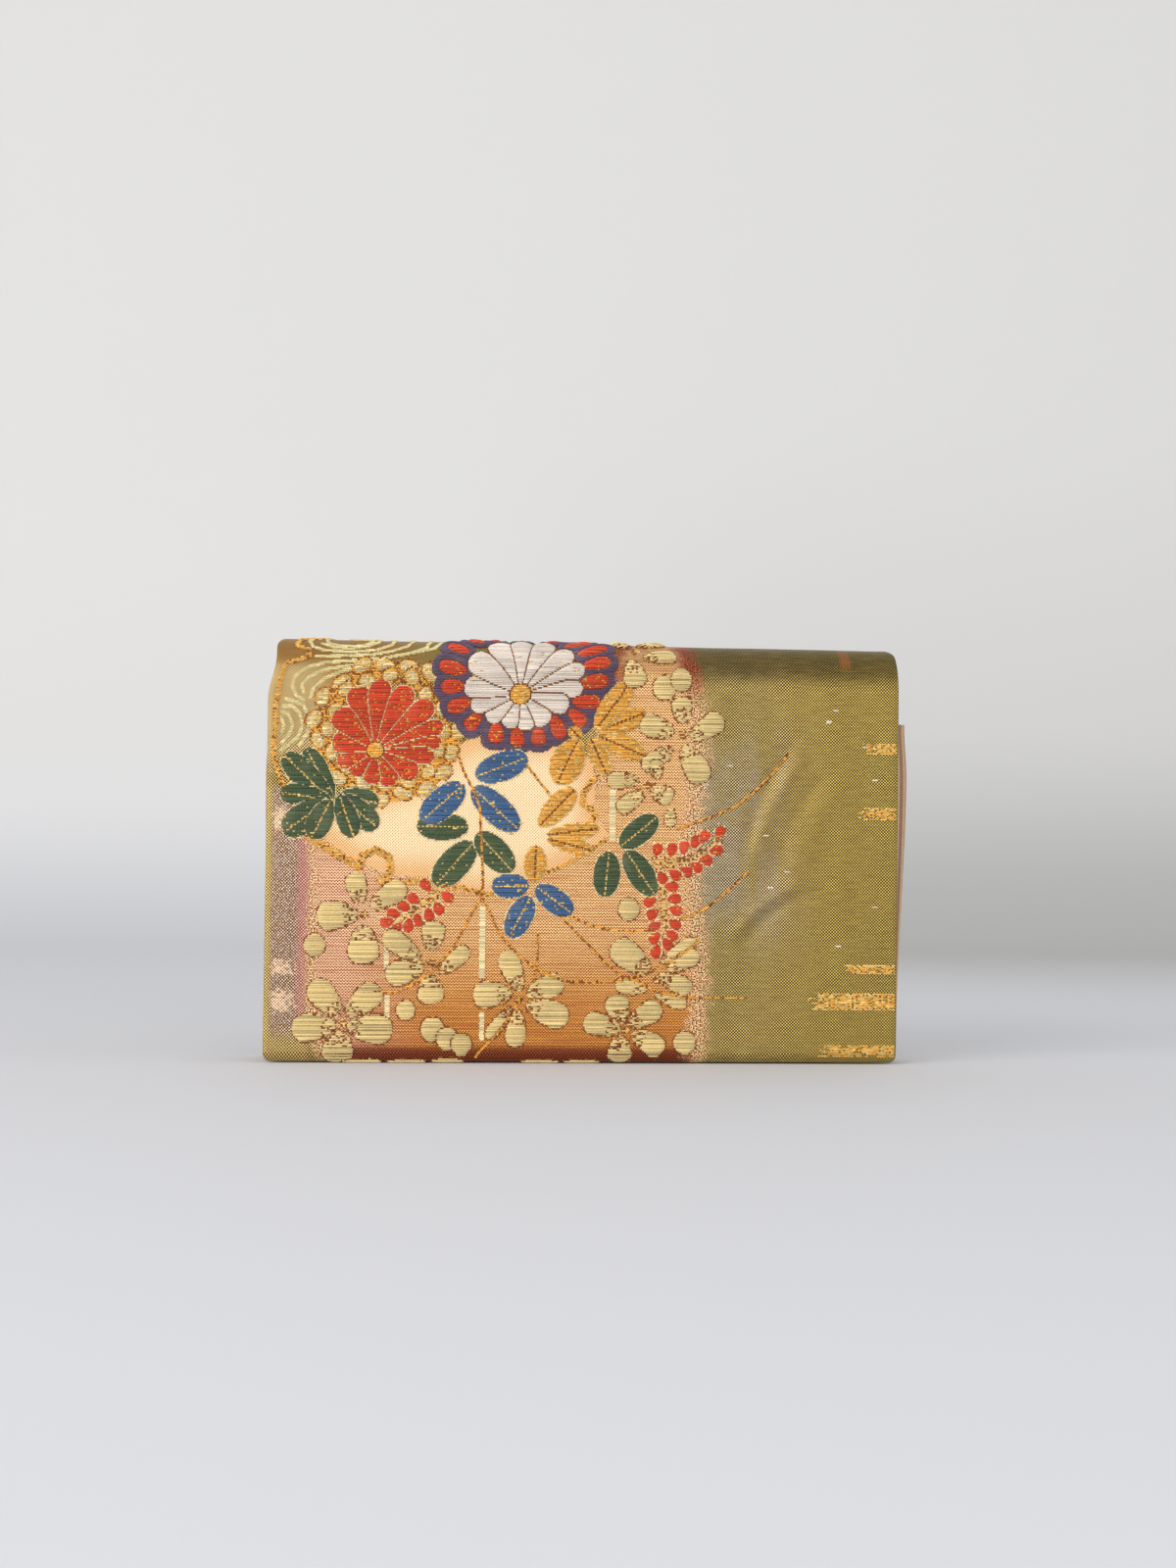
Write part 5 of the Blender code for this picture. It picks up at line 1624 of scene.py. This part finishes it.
@dataclass
class Flowers:
    """The figures of the brocade, laid on the loom in order and woven as floats."""

    loom: Loom

    def ground(self) -> None:
        """The water lines, gilt bars, gold cord and small dashes on the ground."""
        water = Dress(Thread.WATER, fleck=Thread.CREAM, fleck_share=0.3, crown=0.2, base=0.1)
        for route in WATER_LINES:
            self.loom.lay(Motif.GROUND, Stroke(route, 1.3), water)
        pale = Dress(
            Thread.PALE, fleck=Thread.GOLD, fleck_share=0.3, crown=0.1, base=0.08, ragged=6.0, bare=0.2
        )
        for sides in (
            (207, 219.4, 108.6, 112.2), (204, 219.4, 85.4, 89.6), (200, 219.4, 31.6, 35.0),
            (188, 219.4, 19.0, 25.0), (191, 219.4, 2.8, 6.6),
        ):  # fmt: skip
            self.loom.lay(Motif.GROUND, Bar(sides), pale)
        cream = Dress(Thread.CREAM, crown=0.15, ragged=0.3)
        for sides in (
            (73.2, 75.6, 29.5, 54), (73.6, 75.6, 8, 18), (117.8, 120.3, 77, 95), (40.6, 42.4, 31, 41),
            (41, 42.9, 15.5, 23.5),
        ):  # fmt: skip
            self.loom.lay(Motif.GROUND, Bar(sides), cream)
        dash = Dress(Thread.WHITE, crown=0.05, base=0.05)
        for x, y in (
            (197.5, 123.8), (195, 119.5), (211.8, 99.5), (173, 79.8), (180.8, 66.8), (151.6, 97),
            (212, 55), (174.8, 61.5), (199, 41), (208, 111), (160, 104),
        ):  # fmt: skip
            self.loom.lay(Motif.GROUND, Bar((x - 1.0, x + 1.0, y - 0.3, y + 0.3)), dash)
        gold = Dress(Thread.GOLD, hatch=Thread.PALE, fleck=Thread.EMBER, fleck_share=0.16, crown=0.45)
        for width, route in CORD_ROUTES:
            self.loom.lay(Motif.GROUND, Stroke(route, width), gold)

    def red_flower(self) -> None:
        """The red chrysanthemum in its ring of loose gold lobes."""
        centre = (40.5, 114)
        under = Dress(Thread.GOLD, fleck=Thread.EMBER, fleck_share=0.24, crown=0.1, bare=0.16)
        route = [oval(centre, (21.5, 20.5), a) for a in range(0, 361, 12)]
        self.loom.lay(Motif.RED_FLOWER, Stroke(route, 8.0), under)
        lobe = Dress(
            Thread.PALE, edge=Thread.GOLD, halo=Thread.EMBER, fleck=Thread.CREAM,
            fleck_share=0.45, crown=0.9, ragged=0.3, ridge=3,
        )  # fmt: skip
        for count, radii, size in ((19, (24.8, 23.2), 5.8), (16, (20.0, 19.2), 5.4)):
            for i in range(count):
                angle, sway = 360 * i / count, 1 + 0.05 * math.sin(i * 2.4)
                lean = 1.4 if i % 2 else -0.6
                near = (radii[0] * sway - lean, radii[1] * sway - lean)
                far = (radii[0] * sway + lean, radii[1] * sway + lean)
                start, end = oval(centre, near, angle - 8), oval(centre, far, angle + 8)
                self.loom.lay(Motif.RED_FLOWER, Drop(start, end, size, 0.2, 2.2), lobe)
        red = Dress(
            Thread.RED, edge=Thread.CREAM, fleck=Thread.GOLD, fleck_share=0.10, crown=0.75, ridge=3
        )
        self.rays(Motif.RED_FLOWER, (36.8, 107.2), RED_TIPS, red)
        middle = Dress(Thread.GOLD, edge=Thread.EMBER, fleck=Thread.PALE, fleck_share=0.3, crown=0.7)
        self.loom.lay(Motif.RED_FLOWER, Disc((36.8, 107.2), (3.2, 3.1)), middle)

    def rays(self, motif: Motif, heart: tuple[float, float], tips: Route, dress: Dress) -> None:
        """The petals of a chrysanthemum, each as wide as its neighbours leave room for."""
        for before, tip, after in zip((tips[-1], *tips), tips, (*tips[1:], tips[0])):
            room = (math.dist(before, tip) + math.dist(tip, after)) / 2
            self.loom.lay(motif, Drop(heart, tip, room * 1.14, 0.88, 4.0), dress)

    def white_flower(self) -> None:
        """The white chrysanthemum with its red drops in plum lobes, which runs over the fold."""
        lobe = Dress(Thread.PLUM, crown=0.6)
        drop = Dress(Thread.RED, fleck=Thread.GOLD, fleck_share=0.08, crown=0.85, ridge=3)
        for ax, ay, bx, by, width in RED_DROPS:
            length = math.dist((ax, ay), (bx, by))
            ux, uy = (bx - ax) / length, (by - ay) / length
            start, end = (ax - ux * 2, ay - uy * 2), (bx + ux * 2.4, by + uy * 2.4)
            self.loom.lay(Motif.WHITE_FLOWER, Drop(start, end, width + 5.6, 0.25, 3.2), lobe)
        for ax, ay, bx, by, width in RED_DROPS:
            self.loom.lay(Motif.WHITE_FLOWER, Drop((ax, ay), (bx, by), width + 0.5, 0.3, 2.6), drop)
        heart = (86.4, 127.4)
        white = Dress(Thread.WHITE, edge=Thread.EMBER, fleck=Thread.PALE, fleck_share=0.01, crown=0.6)
        self.rays(Motif.WHITE_FLOWER, heart, WHITE_TIPS, white)
        middle = Dress(Thread.GOLD, edge=Thread.EMBER, fleck=Thread.PALE, fleck_share=0.35, crown=0.8)
        self.loom.lay(Motif.WHITE_FLOWER, Disc(heart, (3.9, 3.8)), middle)

    def leaves(self) -> None:
        """The ivy and the sprigs of blue, green and gold leaves."""
        gold = Dress(
            Thread.GOLD, edge=Thread.PALE, vein=Thread.EMBER, fleck=Thread.PALE,
            fleck_share=0.28, crown=0.8, ragged=0.3, ridge=3,
        )  # fmt: skip
        green, blue, ivy = (
            Dress(
                thread, halo=Thread.CREAM, vein=Thread.PALE, fleck=Thread.PALE, fleck_share=share,
                crown=0.7, ridge=3,
            )
            for thread, share in ((Thread.GREEN, 0.01), (Thread.BLUE, 0.05), (Thread.GREEN, 0.03))
        )  # fmt: skip
        for leaves, taper, blunt, dress in (
            (GOLD_LEAVES, 0.15, 2.0, gold), (IVY_LEAVES, 0.3, 2.4, ivy),
            (GREEN_LEAVES, 0.05, 2.2, green), (BLUE_LEAVES, 0.05, 2.2, blue),
        ):  # fmt: skip
            for ax, ay, bx, by, width in leaves:
                self.loom.lay(Motif.LEAVES, Drop((ax, ay), (bx, by), width, taper, blunt), dress)

    def sprays(self) -> None:
        """The sprays of small red drops in pairs along their stems."""
        dust = Dress(Thread.PALE, fleck=Thread.EMBER, fleck_share=0.25, crown=0.1, base=0.05, bare=0.5)
        stem = Dress(Thread.PALE, fleck=Thread.EMBER, fleck_share=0.3, crown=0.2)
        drop = Dress(Thread.RED, halo=Thread.CREAM, fleck=Thread.GOLD, fleck_share=0.05, crown=0.65)
        for route in (
            ((134.5, 70), (141, 70), (147, 70.8), (152, 73.6), (156, 77.4)),
            ((135.8, 70), (137.4, 59), (137.6, 48), (136.6, 39)),
            ((61, 60), (55, 55.6), (49, 50.8), (43, 47.6)),
        ):
            self.loom.lay(Motif.SPRAYS, Stroke(route, 4.0), dust)
            self.loom.lay(Motif.SPRAYS, Stroke(route, 0.9), stem)
        for x, y, angle in SPRAY_DROPS:
            ux, uy = 2.4 * math.cos(math.radians(angle)), 2.4 * math.sin(math.radians(angle))
            self.loom.lay(Motif.SPRAYS, Drop((x - ux, y - uy), (x + ux, y + uy), 4.6, 0.5, 2.2), drop)

    def blossoms(self) -> None:
        """The straw-coloured plum blossoms and buds."""
        straw = Dress(
            Thread.STRAW, halo=Thread.EMBER, fleck=Thread.EMBER, fleck_share=0.17, fleck_reach=5.2,
            crown=0.95, base=0.15, ragged=0.4, bare=0.14, ridge=3,
        )  # fmt: skip
        plain = Dress(Thread.STRAW, halo=Thread.EMBER, crown=0.95, base=0.15, ragged=0.3, ridge=3)
        heart = Dress(Thread.PALE, fleck=Thread.EMBER, fleck_share=0.45, crown=0.3, ragged=0.8)
        for ax, ay, bx, by, width in PETALS:
            self.loom.lay(Motif.BLOSSOMS, Drop((ax, ay), (bx, by), width * 1.08, 0.45, 2.8), straw)
        for x, y in HEARTS:
            self.loom.lay(Motif.BLOSSOMS, Disc((x, y), (2.0, 1.9)), heart)
        for x, y, size in BUDS:
            self.loom.lay(Motif.BLOSSOMS, Disc((x, y), (size, size * 1.06)), plain)
        for ax, ay, bx, by, width in FOOT_PETALS:
            self.loom.lay(Motif.BLOSSOMS, Drop((ax, ay), (bx, by), width, 0.1), plain)

    def stems(self) -> None:
        """The twisted gold stems that trail over the ground."""
        gold = Dress(Thread.GOLD, fleck=Thread.EMBER, fleck_share=0.34, crown=0.2, base=0.25)
        for route in STEM_ROUTES:
            self.loom.lay(Motif.STEMS, Stroke(route, 0.85), gold)

    def weave(self) -> list[bpy.types.Object]:
        """Weaves every figure.

        Returns:
            The pieces, one for each thread of each motif.
        """
        for part in (
            self.ground, self.red_flower, self.white_flower, self.leaves, self.sprays,
            self.blossoms, self.stems,
        ):  # fmt: skip
            part()
        tree = float_tree()
        made = []
        for (motif, thread), runs in self.loom.runs().items():
            name = f"{motif.name.lower()}_{thread.name.lower()}_floats"
            values = {"Thread Radius": self.loom.radius, "Thread Sides": 5, "Finish": thread.material()}
            grown = tree.grow(name, self.loom.routes(runs, name), values)
            nodes = STANDS_FOR.get((motif, thread), ())
            if nodes:
                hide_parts(*nodes)
            LOG.info("%s: %d floats, %d faces", name, len(runs), len(grown.data.polygons))
            made.append(grown)
        return made


STANDS_FOR = {
    (Motif.GROUND, Thread.WATER): ("water_swirl_upper", "water_swirl_lower"),
    (Motif.GROUND, Thread.PALE): ("edge_bars_right",),
    (Motif.GROUND, Thread.CREAM): ("edge_bars_left",),
    (Motif.WHITE_FLOWER, Thread.GOLD): ("white_mum_heart",),
    (Motif.WHITE_FLOWER, Thread.WHITE): ("white_mum_petals",),
    (Motif.WHITE_FLOWER, Thread.RED): ("white_mum_drops", "drops_over_fold"),
    (Motif.WHITE_FLOWER, Thread.PLUM): ("white_mum_rim", "rim_over_fold"),
    (Motif.RED_FLOWER, Thread.GOLD): ("red_mum_heart", "red_mum_ring"),
    (Motif.RED_FLOWER, Thread.RED): ("red_mum_petals",),
    (Motif.LEAVES, Thread.GREEN): ("ivy_leaf", "green_sprig_left", "green_sprig_right"),
    (Motif.LEAVES, Thread.BLUE): ("blue_sprig_upper", "blue_sprig_lower"),
    (Motif.LEAVES, Thread.GOLD): ("gold_sprig_upper", "gold_sprig_lower"),
    (Motif.SPRAYS, Thread.RED): ("red_spray_left", "red_spray_right"),
    (Motif.BLOSSOMS, Thread.STRAW): (
        *(f"plum_blossom_{i}" for i in range(1, 10)),
        *("plum_bud_trio", "plum_bud_pair", "plum_bud_1", "plum_bud_2", "plum_bud_3"),
    ),
    (Motif.STEMS, Thread.GOLD): (
        "gold_stem_upper", "gold_stem_middle", "gold_stem_lower", "gold_stem_middle_left",
    ),
}  # fmt: skip


@dataclass
class Gusset:
    """A side cloth between the walls, bowed outwards with soft upright folds."""

    cloth: Cloth
    side: int
    bulge: float
    foot_share: float
    mouth_share: float
    rows: int = 40
    columns: int = 28
    thickness: float = 0.0010
    top: float = 0.1198
    fullest: float = 0.100

    def build(self) -> bpy.types.Object:
        """Makes the side cloth.

        Returns:
            The piece.
        """
        c = self.cloth
        low, high = c.wall_layers + c.gap, self.top
        near, far = c.wall_face + c.wall_layers + c.gap, c.depth - c.wall_layers - c.gap
        inner = c.width / 2 - c.setback - c.rim - c.gap - self.thickness
        height = np.linspace(low, high, self.rows)[:, None]
        share = np.linspace(-1, 1, self.columns)[None]
        middle = self.fullest
        rise = self.foot_share + (1 - self.foot_share) * smooth((height - low) / (middle - low))
        fall = self.mouth_share + (1 - self.mouth_share) * smooth((high - height) / (high - middle))
        bow = self.bulge * np.where(height > middle, fall, rise)
        ease = 0.00022 * np.sin(share * 7 + height * 30) * (1 - share**2) * smooth(height / 0.03)
        x = inner - c.trim(height) + bow * (1 - share**4) * (1 - 0.15 * share) + ease
        depth = (near + far) / 2 + (far - near) / 2 * share + 0 * x
        full = np.concatenate((x, (x + self.thickness)[:, ::-1]), axis=1) * self.side
        rings = c.world(full, np.concatenate((depth, depth[:, ::-1]), axis=1), height + 0 * full)
        name = "left_gusset_cloth" if self.side < 0 else "right_gusset_cloth"
        made = piece(name, loft(name, rings), finish_of(GussetFinish))
        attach(made, "bag")
        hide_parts("left_gusset" if self.side < 0 else "right_gusset")
        across = np.hypot(np.diff(x, axis=1), np.diff(depth, axis=1)).sum(axis=1).mean()
        flat = (round(float(across), 4), high - low)
        LOG.info("%s: cut %.1f mm by %.1f mm", name, flat[0] / MM, flat[1] / MM)
        return made


@dataclass
class Pocket:
    """The slip pocket on the back lining."""

    cloth: Cloth
    half: float = 0.075
    foot: float = 0.014
    top: float = 0.092
    stand: float = 0.0018

    def build(self) -> bpy.types.Object:
        """Makes the pocket's cloth, closed at its sides and foot.

        Returns:
            The piece.
        """
        c = self.cloth
        back = c.depth - c.wall_layers - c.gap
        height = np.linspace(self.foot, self.top, 34)[:, None]
        share = np.linspace(-1, 1, 60)[None]
        x = share * (self.half - 0.0002) + 0 * height
        open_up = smooth((height - self.foot) / 0.004) * smooth((1 - np.abs(share)) * 26)
        slack = 0.00018 * np.sin(share * 9) * smooth((height - self.foot) / (self.top - self.foot))
        stand = 0.0006 + (self.stand - 0.0006 + slack - 0.0002) * open_up
        near = back - stand - c.lining
        full = np.concatenate((x, x[:, ::-1]), axis=1)
        depth = np.concatenate((near, (near + c.lining)[:, ::-1]), axis=1)
        rings = c.world(full, depth, height + 0 * full)
        cloth = piece("pocket_satin", loft("pocket_satin", rings), finish_of(SatinFinish))
        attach(cloth, "bag")
        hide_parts("slip_pocket")
        2 * self.half
        self.top - self.foot
        return cloth


@dataclass
class Seams:
    """Lines of stitches: along the mouth's hem, the flap's lining and the pocket."""

    cloth: Cloth
    pitch: float = 0.0026
    size: tuple[float, float, float] = (0.00085, 0.00016, 0.00016)

    def line(self, tree: Tree, name: str, points: np.ndarray, thread: Thread, body: str) -> None:
        """Sews one line of stitches.

        Args:
            tree: The stitch tree.
            name: The piece's name.
            points: The seam's route.
            thread: The thread.
            body: What it rides on.
        """
        mesh = bpy.data.meshes.new(name)
        mesh.from_pydata(points.tolist(), [(i, i + 1) for i in range(len(points) - 1)], [])
        store(mesh, "tone", np.full(len(points), 0.6))
        values = {"Stitch Pitch": self.pitch, "Stitch Size": self.size, "Finish": thread.material()}
        made = tree.grow(name, mesh, values)
        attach(made, body)
        LOG.info("%s: %d faces", name, len(made.data.polygons))

    def build(self) -> None:
        """Sews every line."""
        c, tree = self.cloth, stitch_tree()
        half = c.width / 2
        hem = c.wall_face + 2 * c.mouth_reach + 0.00002
        x = np.linspace(-half + 0.006, half - 0.006, 60)
        self.line(tree, "mouth_stitches", c.world(x, hem, c.mouth - 0.0105), Thread.GOLD, "bag")
        level = c.mouth - 0.004
        self.line(tree, "front_stitches", c.world(x, c.wall_face - 0.00004, level), Thread.GOLD, "bag")
        low, high = c.lip_top + 0.006, c.shoulder - 0.008
        side = half - 0.0042
        inner = c.flap_layers + 0.00022
        route = [(-side, high), (-side, low), (side, low), (side, high)]
        xs, zs = zip(*route)
        points = c.world(np.array(xs), inner, np.array(zs))
        self.line(tree, "flap_stitches", points, Thread.RED, "flap")
        pocket = Pocket(c)
        edge = pocket.half - 0.0011
        xs = np.array([-edge, -edge, edge, edge])
        low, high = pocket.foot + 0.0011, pocket.top - 0.001
        zs = np.array([high, low, low, high])
        depth = c.depth - c.wall_layers - c.gap - 0.0006 - c.lining - 0.00002
        self.line(tree, "pocket_stitches", c.world(xs, depth, zs), Thread.RED, "bag")


@dataclass
class Snap:
    """The two halves of the snap, turned in brass."""

    cloth: Cloth
    height: float = 0.034
    steps: int = 56

    def turned(self, name: str, profile: Route, depth: float, body: str) -> None:
        """A round piece on the snap's axis.

        Args:
            name: The name of the node that it stands for.
            profile: Pairs of a radius and a distance back, in millimetres.
            depth: Where the profile's back distance starts.
            body: What it rides on.
        """
        c = self.cloth
        angle = np.linspace(0, 2 * math.pi, self.steps, endpoint=False)[None]
        radius = np.array([p[0] for p in profile])[:, None] * MM
        back = np.array([p[1] for p in profile])[:, None] * MM
        across, up = radius * np.cos(angle), self.height + radius * np.sin(angle)
        rings = c.world(across, depth + back + 0 * angle, up)
        mesh = loft(name + "_brass", rings)
        for face in mesh.polygons:
            face.use_smooth = True
        mesh.set_sharp_from_angle(angle=math.radians(40))
        made = piece(name + "_brass", mesh, finish_of(BrassFinish))
        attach(made, body)
        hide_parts(name)

    def build(self) -> None:
        """Makes both halves."""
        c = self.cloth
        stud = c.flap_layers + c.gap
        profile = (
            (6.6, 0), (6.9, 0.1), (7.0, 0.28), (6.9, 0.5), (6.5, 0.72), (5.6, 0.8), (5.2, 0.66),
            (3.4, 0.66), (3.0, 0.8), (2.3, 0.82), (1.95, 1.2), (2.0, 1.6), (2.1, 1.85), (1.8, 2.05),
            (1.2, 2.1), (0.4, 2.1),
        )  # fmt: skip
        self.turned("snap_stud", profile, stud, "flap")
        profile = (
            (7.0, 1.5), (7.0, 0.35), (6.85, 0.12), (6.5, 0.0), (5.6, 0.0), (5.2, 0.14), (3.7, 0.14),
            (3.4, 0.0), (2.9, 0.0), (2.55, 0.15), (2.5, 0.5), (2.5, 1.2), (0.5, 1.2),
        )  # fmt: skip
        self.turned("snap_socket", profile, stud + 0.0008 + 0.0003, "bag")


@dataclass
class Studio:
    """The camera, the lights, the pale floor and the wall behind."""

    target: tuple[float, float, float] = (0.00085, 0.0, 0.09706)
    azimuth: float = -6.07
    elevation: float = -1.54
    roll: float = 0.69
    distance: float = 0.8626
    floor_end: float = 0.95
    cove: float = 0.35
    wall_glow: float = 0.13

    def camera(self) -> None:
        """Sets the camera at the photograph's viewing angle."""
        lens = bpy.data.cameras.new("view")
        lens.lens, lens.sensor_fit = 50.0, "HORIZONTAL"
        lens.sensor_width, lens.sensor_height = 24.0, 32.0
        lens.clip_start = 0.01
        made = bpy.data.objects.new("view", lens)
        bpy.context.scene.collection.objects.link(made)
        az, el = math.radians(self.azimuth), math.radians(self.elevation)
        way = Vector((math.sin(az) * math.cos(el), -math.cos(az) * math.cos(el), math.sin(el)))
        place = Vector(self.target) + way * self.distance
        turn = way.to_track_quat("Z", "Y").to_matrix().to_4x4()
        roll = Matrix.Rotation(math.radians(self.roll), 4, "Z")
        made.matrix_world = Matrix.Translation(place) @ turn @ roll
        bpy.context.scene.camera = made

    def light(self, name: str, place: tuple, size: tuple, power: float, colour: tuple) -> None:
        """Adds a soft box that looks at the bag.

        Args:
            name: The light's name.
            place: Where it is.
            size: Its width and height.
            power: Its power in watts.
            colour: Its colour.
        """
        lamp = bpy.data.lights.new(name, "AREA")
        lamp.shape, lamp.size, lamp.size_y = "RECTANGLE", *size
        lamp.energy, lamp.color = power, colour
        made = bpy.data.objects.new(name, lamp)
        made.visible_camera = False
        bpy.context.scene.collection.objects.link(made)
        way = Vector(place) - Vector((0, 0, 0.07))
        turn = way.to_track_quat("Z", "Y").to_matrix().to_4x4()
        made.matrix_world = Matrix.Translation(place) @ turn

    def stage(self) -> None:
        """Makes the floor, which sweeps up into the wall, with a painted glow on the wall and a painted
        shadow of the bag low on the right.
        """
        rows = [(-2.6, 0.0)]
        for angle in range(0, 91, 5):
            turn = math.radians(angle)
            rows.append((self.floor_end + self.cove * math.sin(turn), self.cove * (1 - math.cos(turn))))
        rows.append((self.floor_end + self.cove, 2.6))
        points = [(x, y, z) for y, z in rows for x in (-3.0, 3.0)]
        faces = [(2 * i, 2 * i + 1, 2 * i + 3, 2 * i + 2) for i in range(len(rows) - 1)]
        mesh = bpy.data.meshes.new("studio_sweep")
        mesh.from_pydata(points, [], faces)
        mesh.update()
        for face in mesh.polygons:
            face.use_smooth = True
        s = Shader("pale paper sweep")
        x, y, z = s.place()
        cloud = s.noise(x * 2.0, (y + z) * 2.0, 1.0)
        wall = z.step(0.0, 0.20)
        right = x.step(-0.05, 0.35)
        colour = s.mix(wall, dye(222, 223, 227), dye(220, 219, 217))
        # Painted shadow of the bag: the far floor and the foot of the wall on the right are darkened.
        painted_bag_shadow = right * y.step(0.25, 0.95) * z.step(0.20, 0.04) * 0.8
        colour = s.mix(painted_bag_shadow, colour, dye(190, 190, 186))
        # The wall glows by emission, a painted light that is no lamp, and glows less on the right as
        # painted shadow of the bag.
        shine = z.step(0.0, 0.12) * (1.0 - right * z.step(0.50, 0.05) * 0.7)
        glow = s.mix(shine, (0.0, 0.0, 0.0, 1.0), (0.97, 0.975, 0.96, 1.0))
        s.tree.links.new(glow.socket, s.surface.inputs["Emission Color"])
        s.surface.inputs["Emission Strength"].default_value = self.wall_glow
        sweep = piece("studio_sweep", mesh, s.finish(colour, 0.75 + (cloud - 0.5) * 0.1, 0.0))

    def build(self) -> None:
        """Sets the whole studio up."""
        self.camera()
        self.stage()
        self.light("window", (-1.3, -1.2, 0.62), (1.4, 1.4), 21.0, (1.0, 0.985, 0.96))
        self.light("front", (0.3, -1.8, 0.55), (2.2, 1.2), 9.0, (1.0, 0.99, 0.98))
        self.light("side", (1.6, -0.4, 0.9), (1.0, 1.2), 4.0, (0.95, 0.97, 1.0))
        world = bpy.data.worlds.new("studio air")
        world.use_nodes = True
        world.node_tree.nodes["Background"].inputs[0].default_value = (0.98, 0.985, 1.0, 1.0)
        world.node_tree.nodes["Background"].inputs[1].default_value = 0.55
        bpy.context.scene.world = world
        bpy.context.scene.view_settings.view_transform = "Standard"


def carry(
    maker: Brocade | Lining, lengths: Place, nodes: tuple
) -> None:
    """Makes the two pieces of one cloth, over the flap and round the body, and hangs the body's piece
    on the bag.

    Args:
        maker: What makes the two pieces.
        lengths: Their flat lengths in metres; not used.
        nodes: The nodes that each of them stands for.
    """
    flap, body = maker.flap(), maker.body()
    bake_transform(flap)
    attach(body, "bag")
    boards = ("flap_board", "front_board")
    for made, length, board, stands in zip((flap, body), lengths, boards, nodes):
        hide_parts(*stands)
        LOG.info("%s: %d faces", made.name, len(made.data.polygons))


def main() -> None:
    """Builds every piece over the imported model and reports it."""
    logging.basicConfig(level=logging.INFO, format="%(name)s: %(message)s")
    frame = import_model()
    low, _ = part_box("flap_cover")
    _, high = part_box("body_cover")
    cloth = Cloth()
    cloth.shift = (low[0] + cloth.width / 2, high[1] - cloth.depth / 2)
    Studio().build()
    start = (0.0, BLEND_BEHIND + cloth.shift[1], cloth.height)
    end = (0.0, BLEND_AHEAD + cloth.shift[1], cloth.height)
    covers = ("flap_cover", "cream_field", "copper_field", "plum_field"), ("body_cover",)
    carry(Brocade(cloth), (0.312, 0.160), covers)
    linings = ("flap_lining",), ("body_lining",)
    carry(Lining(cloth), (0.297, 0.137), linings)
    for made in Flowers(Loom(cloth)).weave():
        if max(v.co.z for v in made.data.vertices) > cloth.shoulder - BLEND_MARGIN:
            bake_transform(made)
        else:
            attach(made, "flap")
    Gusset(cloth, side=-1, bulge=0.0030, foot_share=0.30, mouth_share=0.50).build()
    Gusset(cloth, side=1, bulge=0.0086, foot_share=0.66, mouth_share=0.88).build()
    Pocket(cloth).build()
    Seams(cloth).build()
    Snap(cloth).build()
    board, brass = finish_of(BoardFinish), finish_of(BrassFinish)
    for name, finish in (
        ("front_board", board),
        ("back_board", board),
        ("base_board", board),
        ("flap_board", board),
        ("snap_stud_washer", brass),
        ("snap_socket_washer", brass),
    ):
        frame["nodes"][name].data.materials[0] = finish


if __name__ == "__main__":
    main()
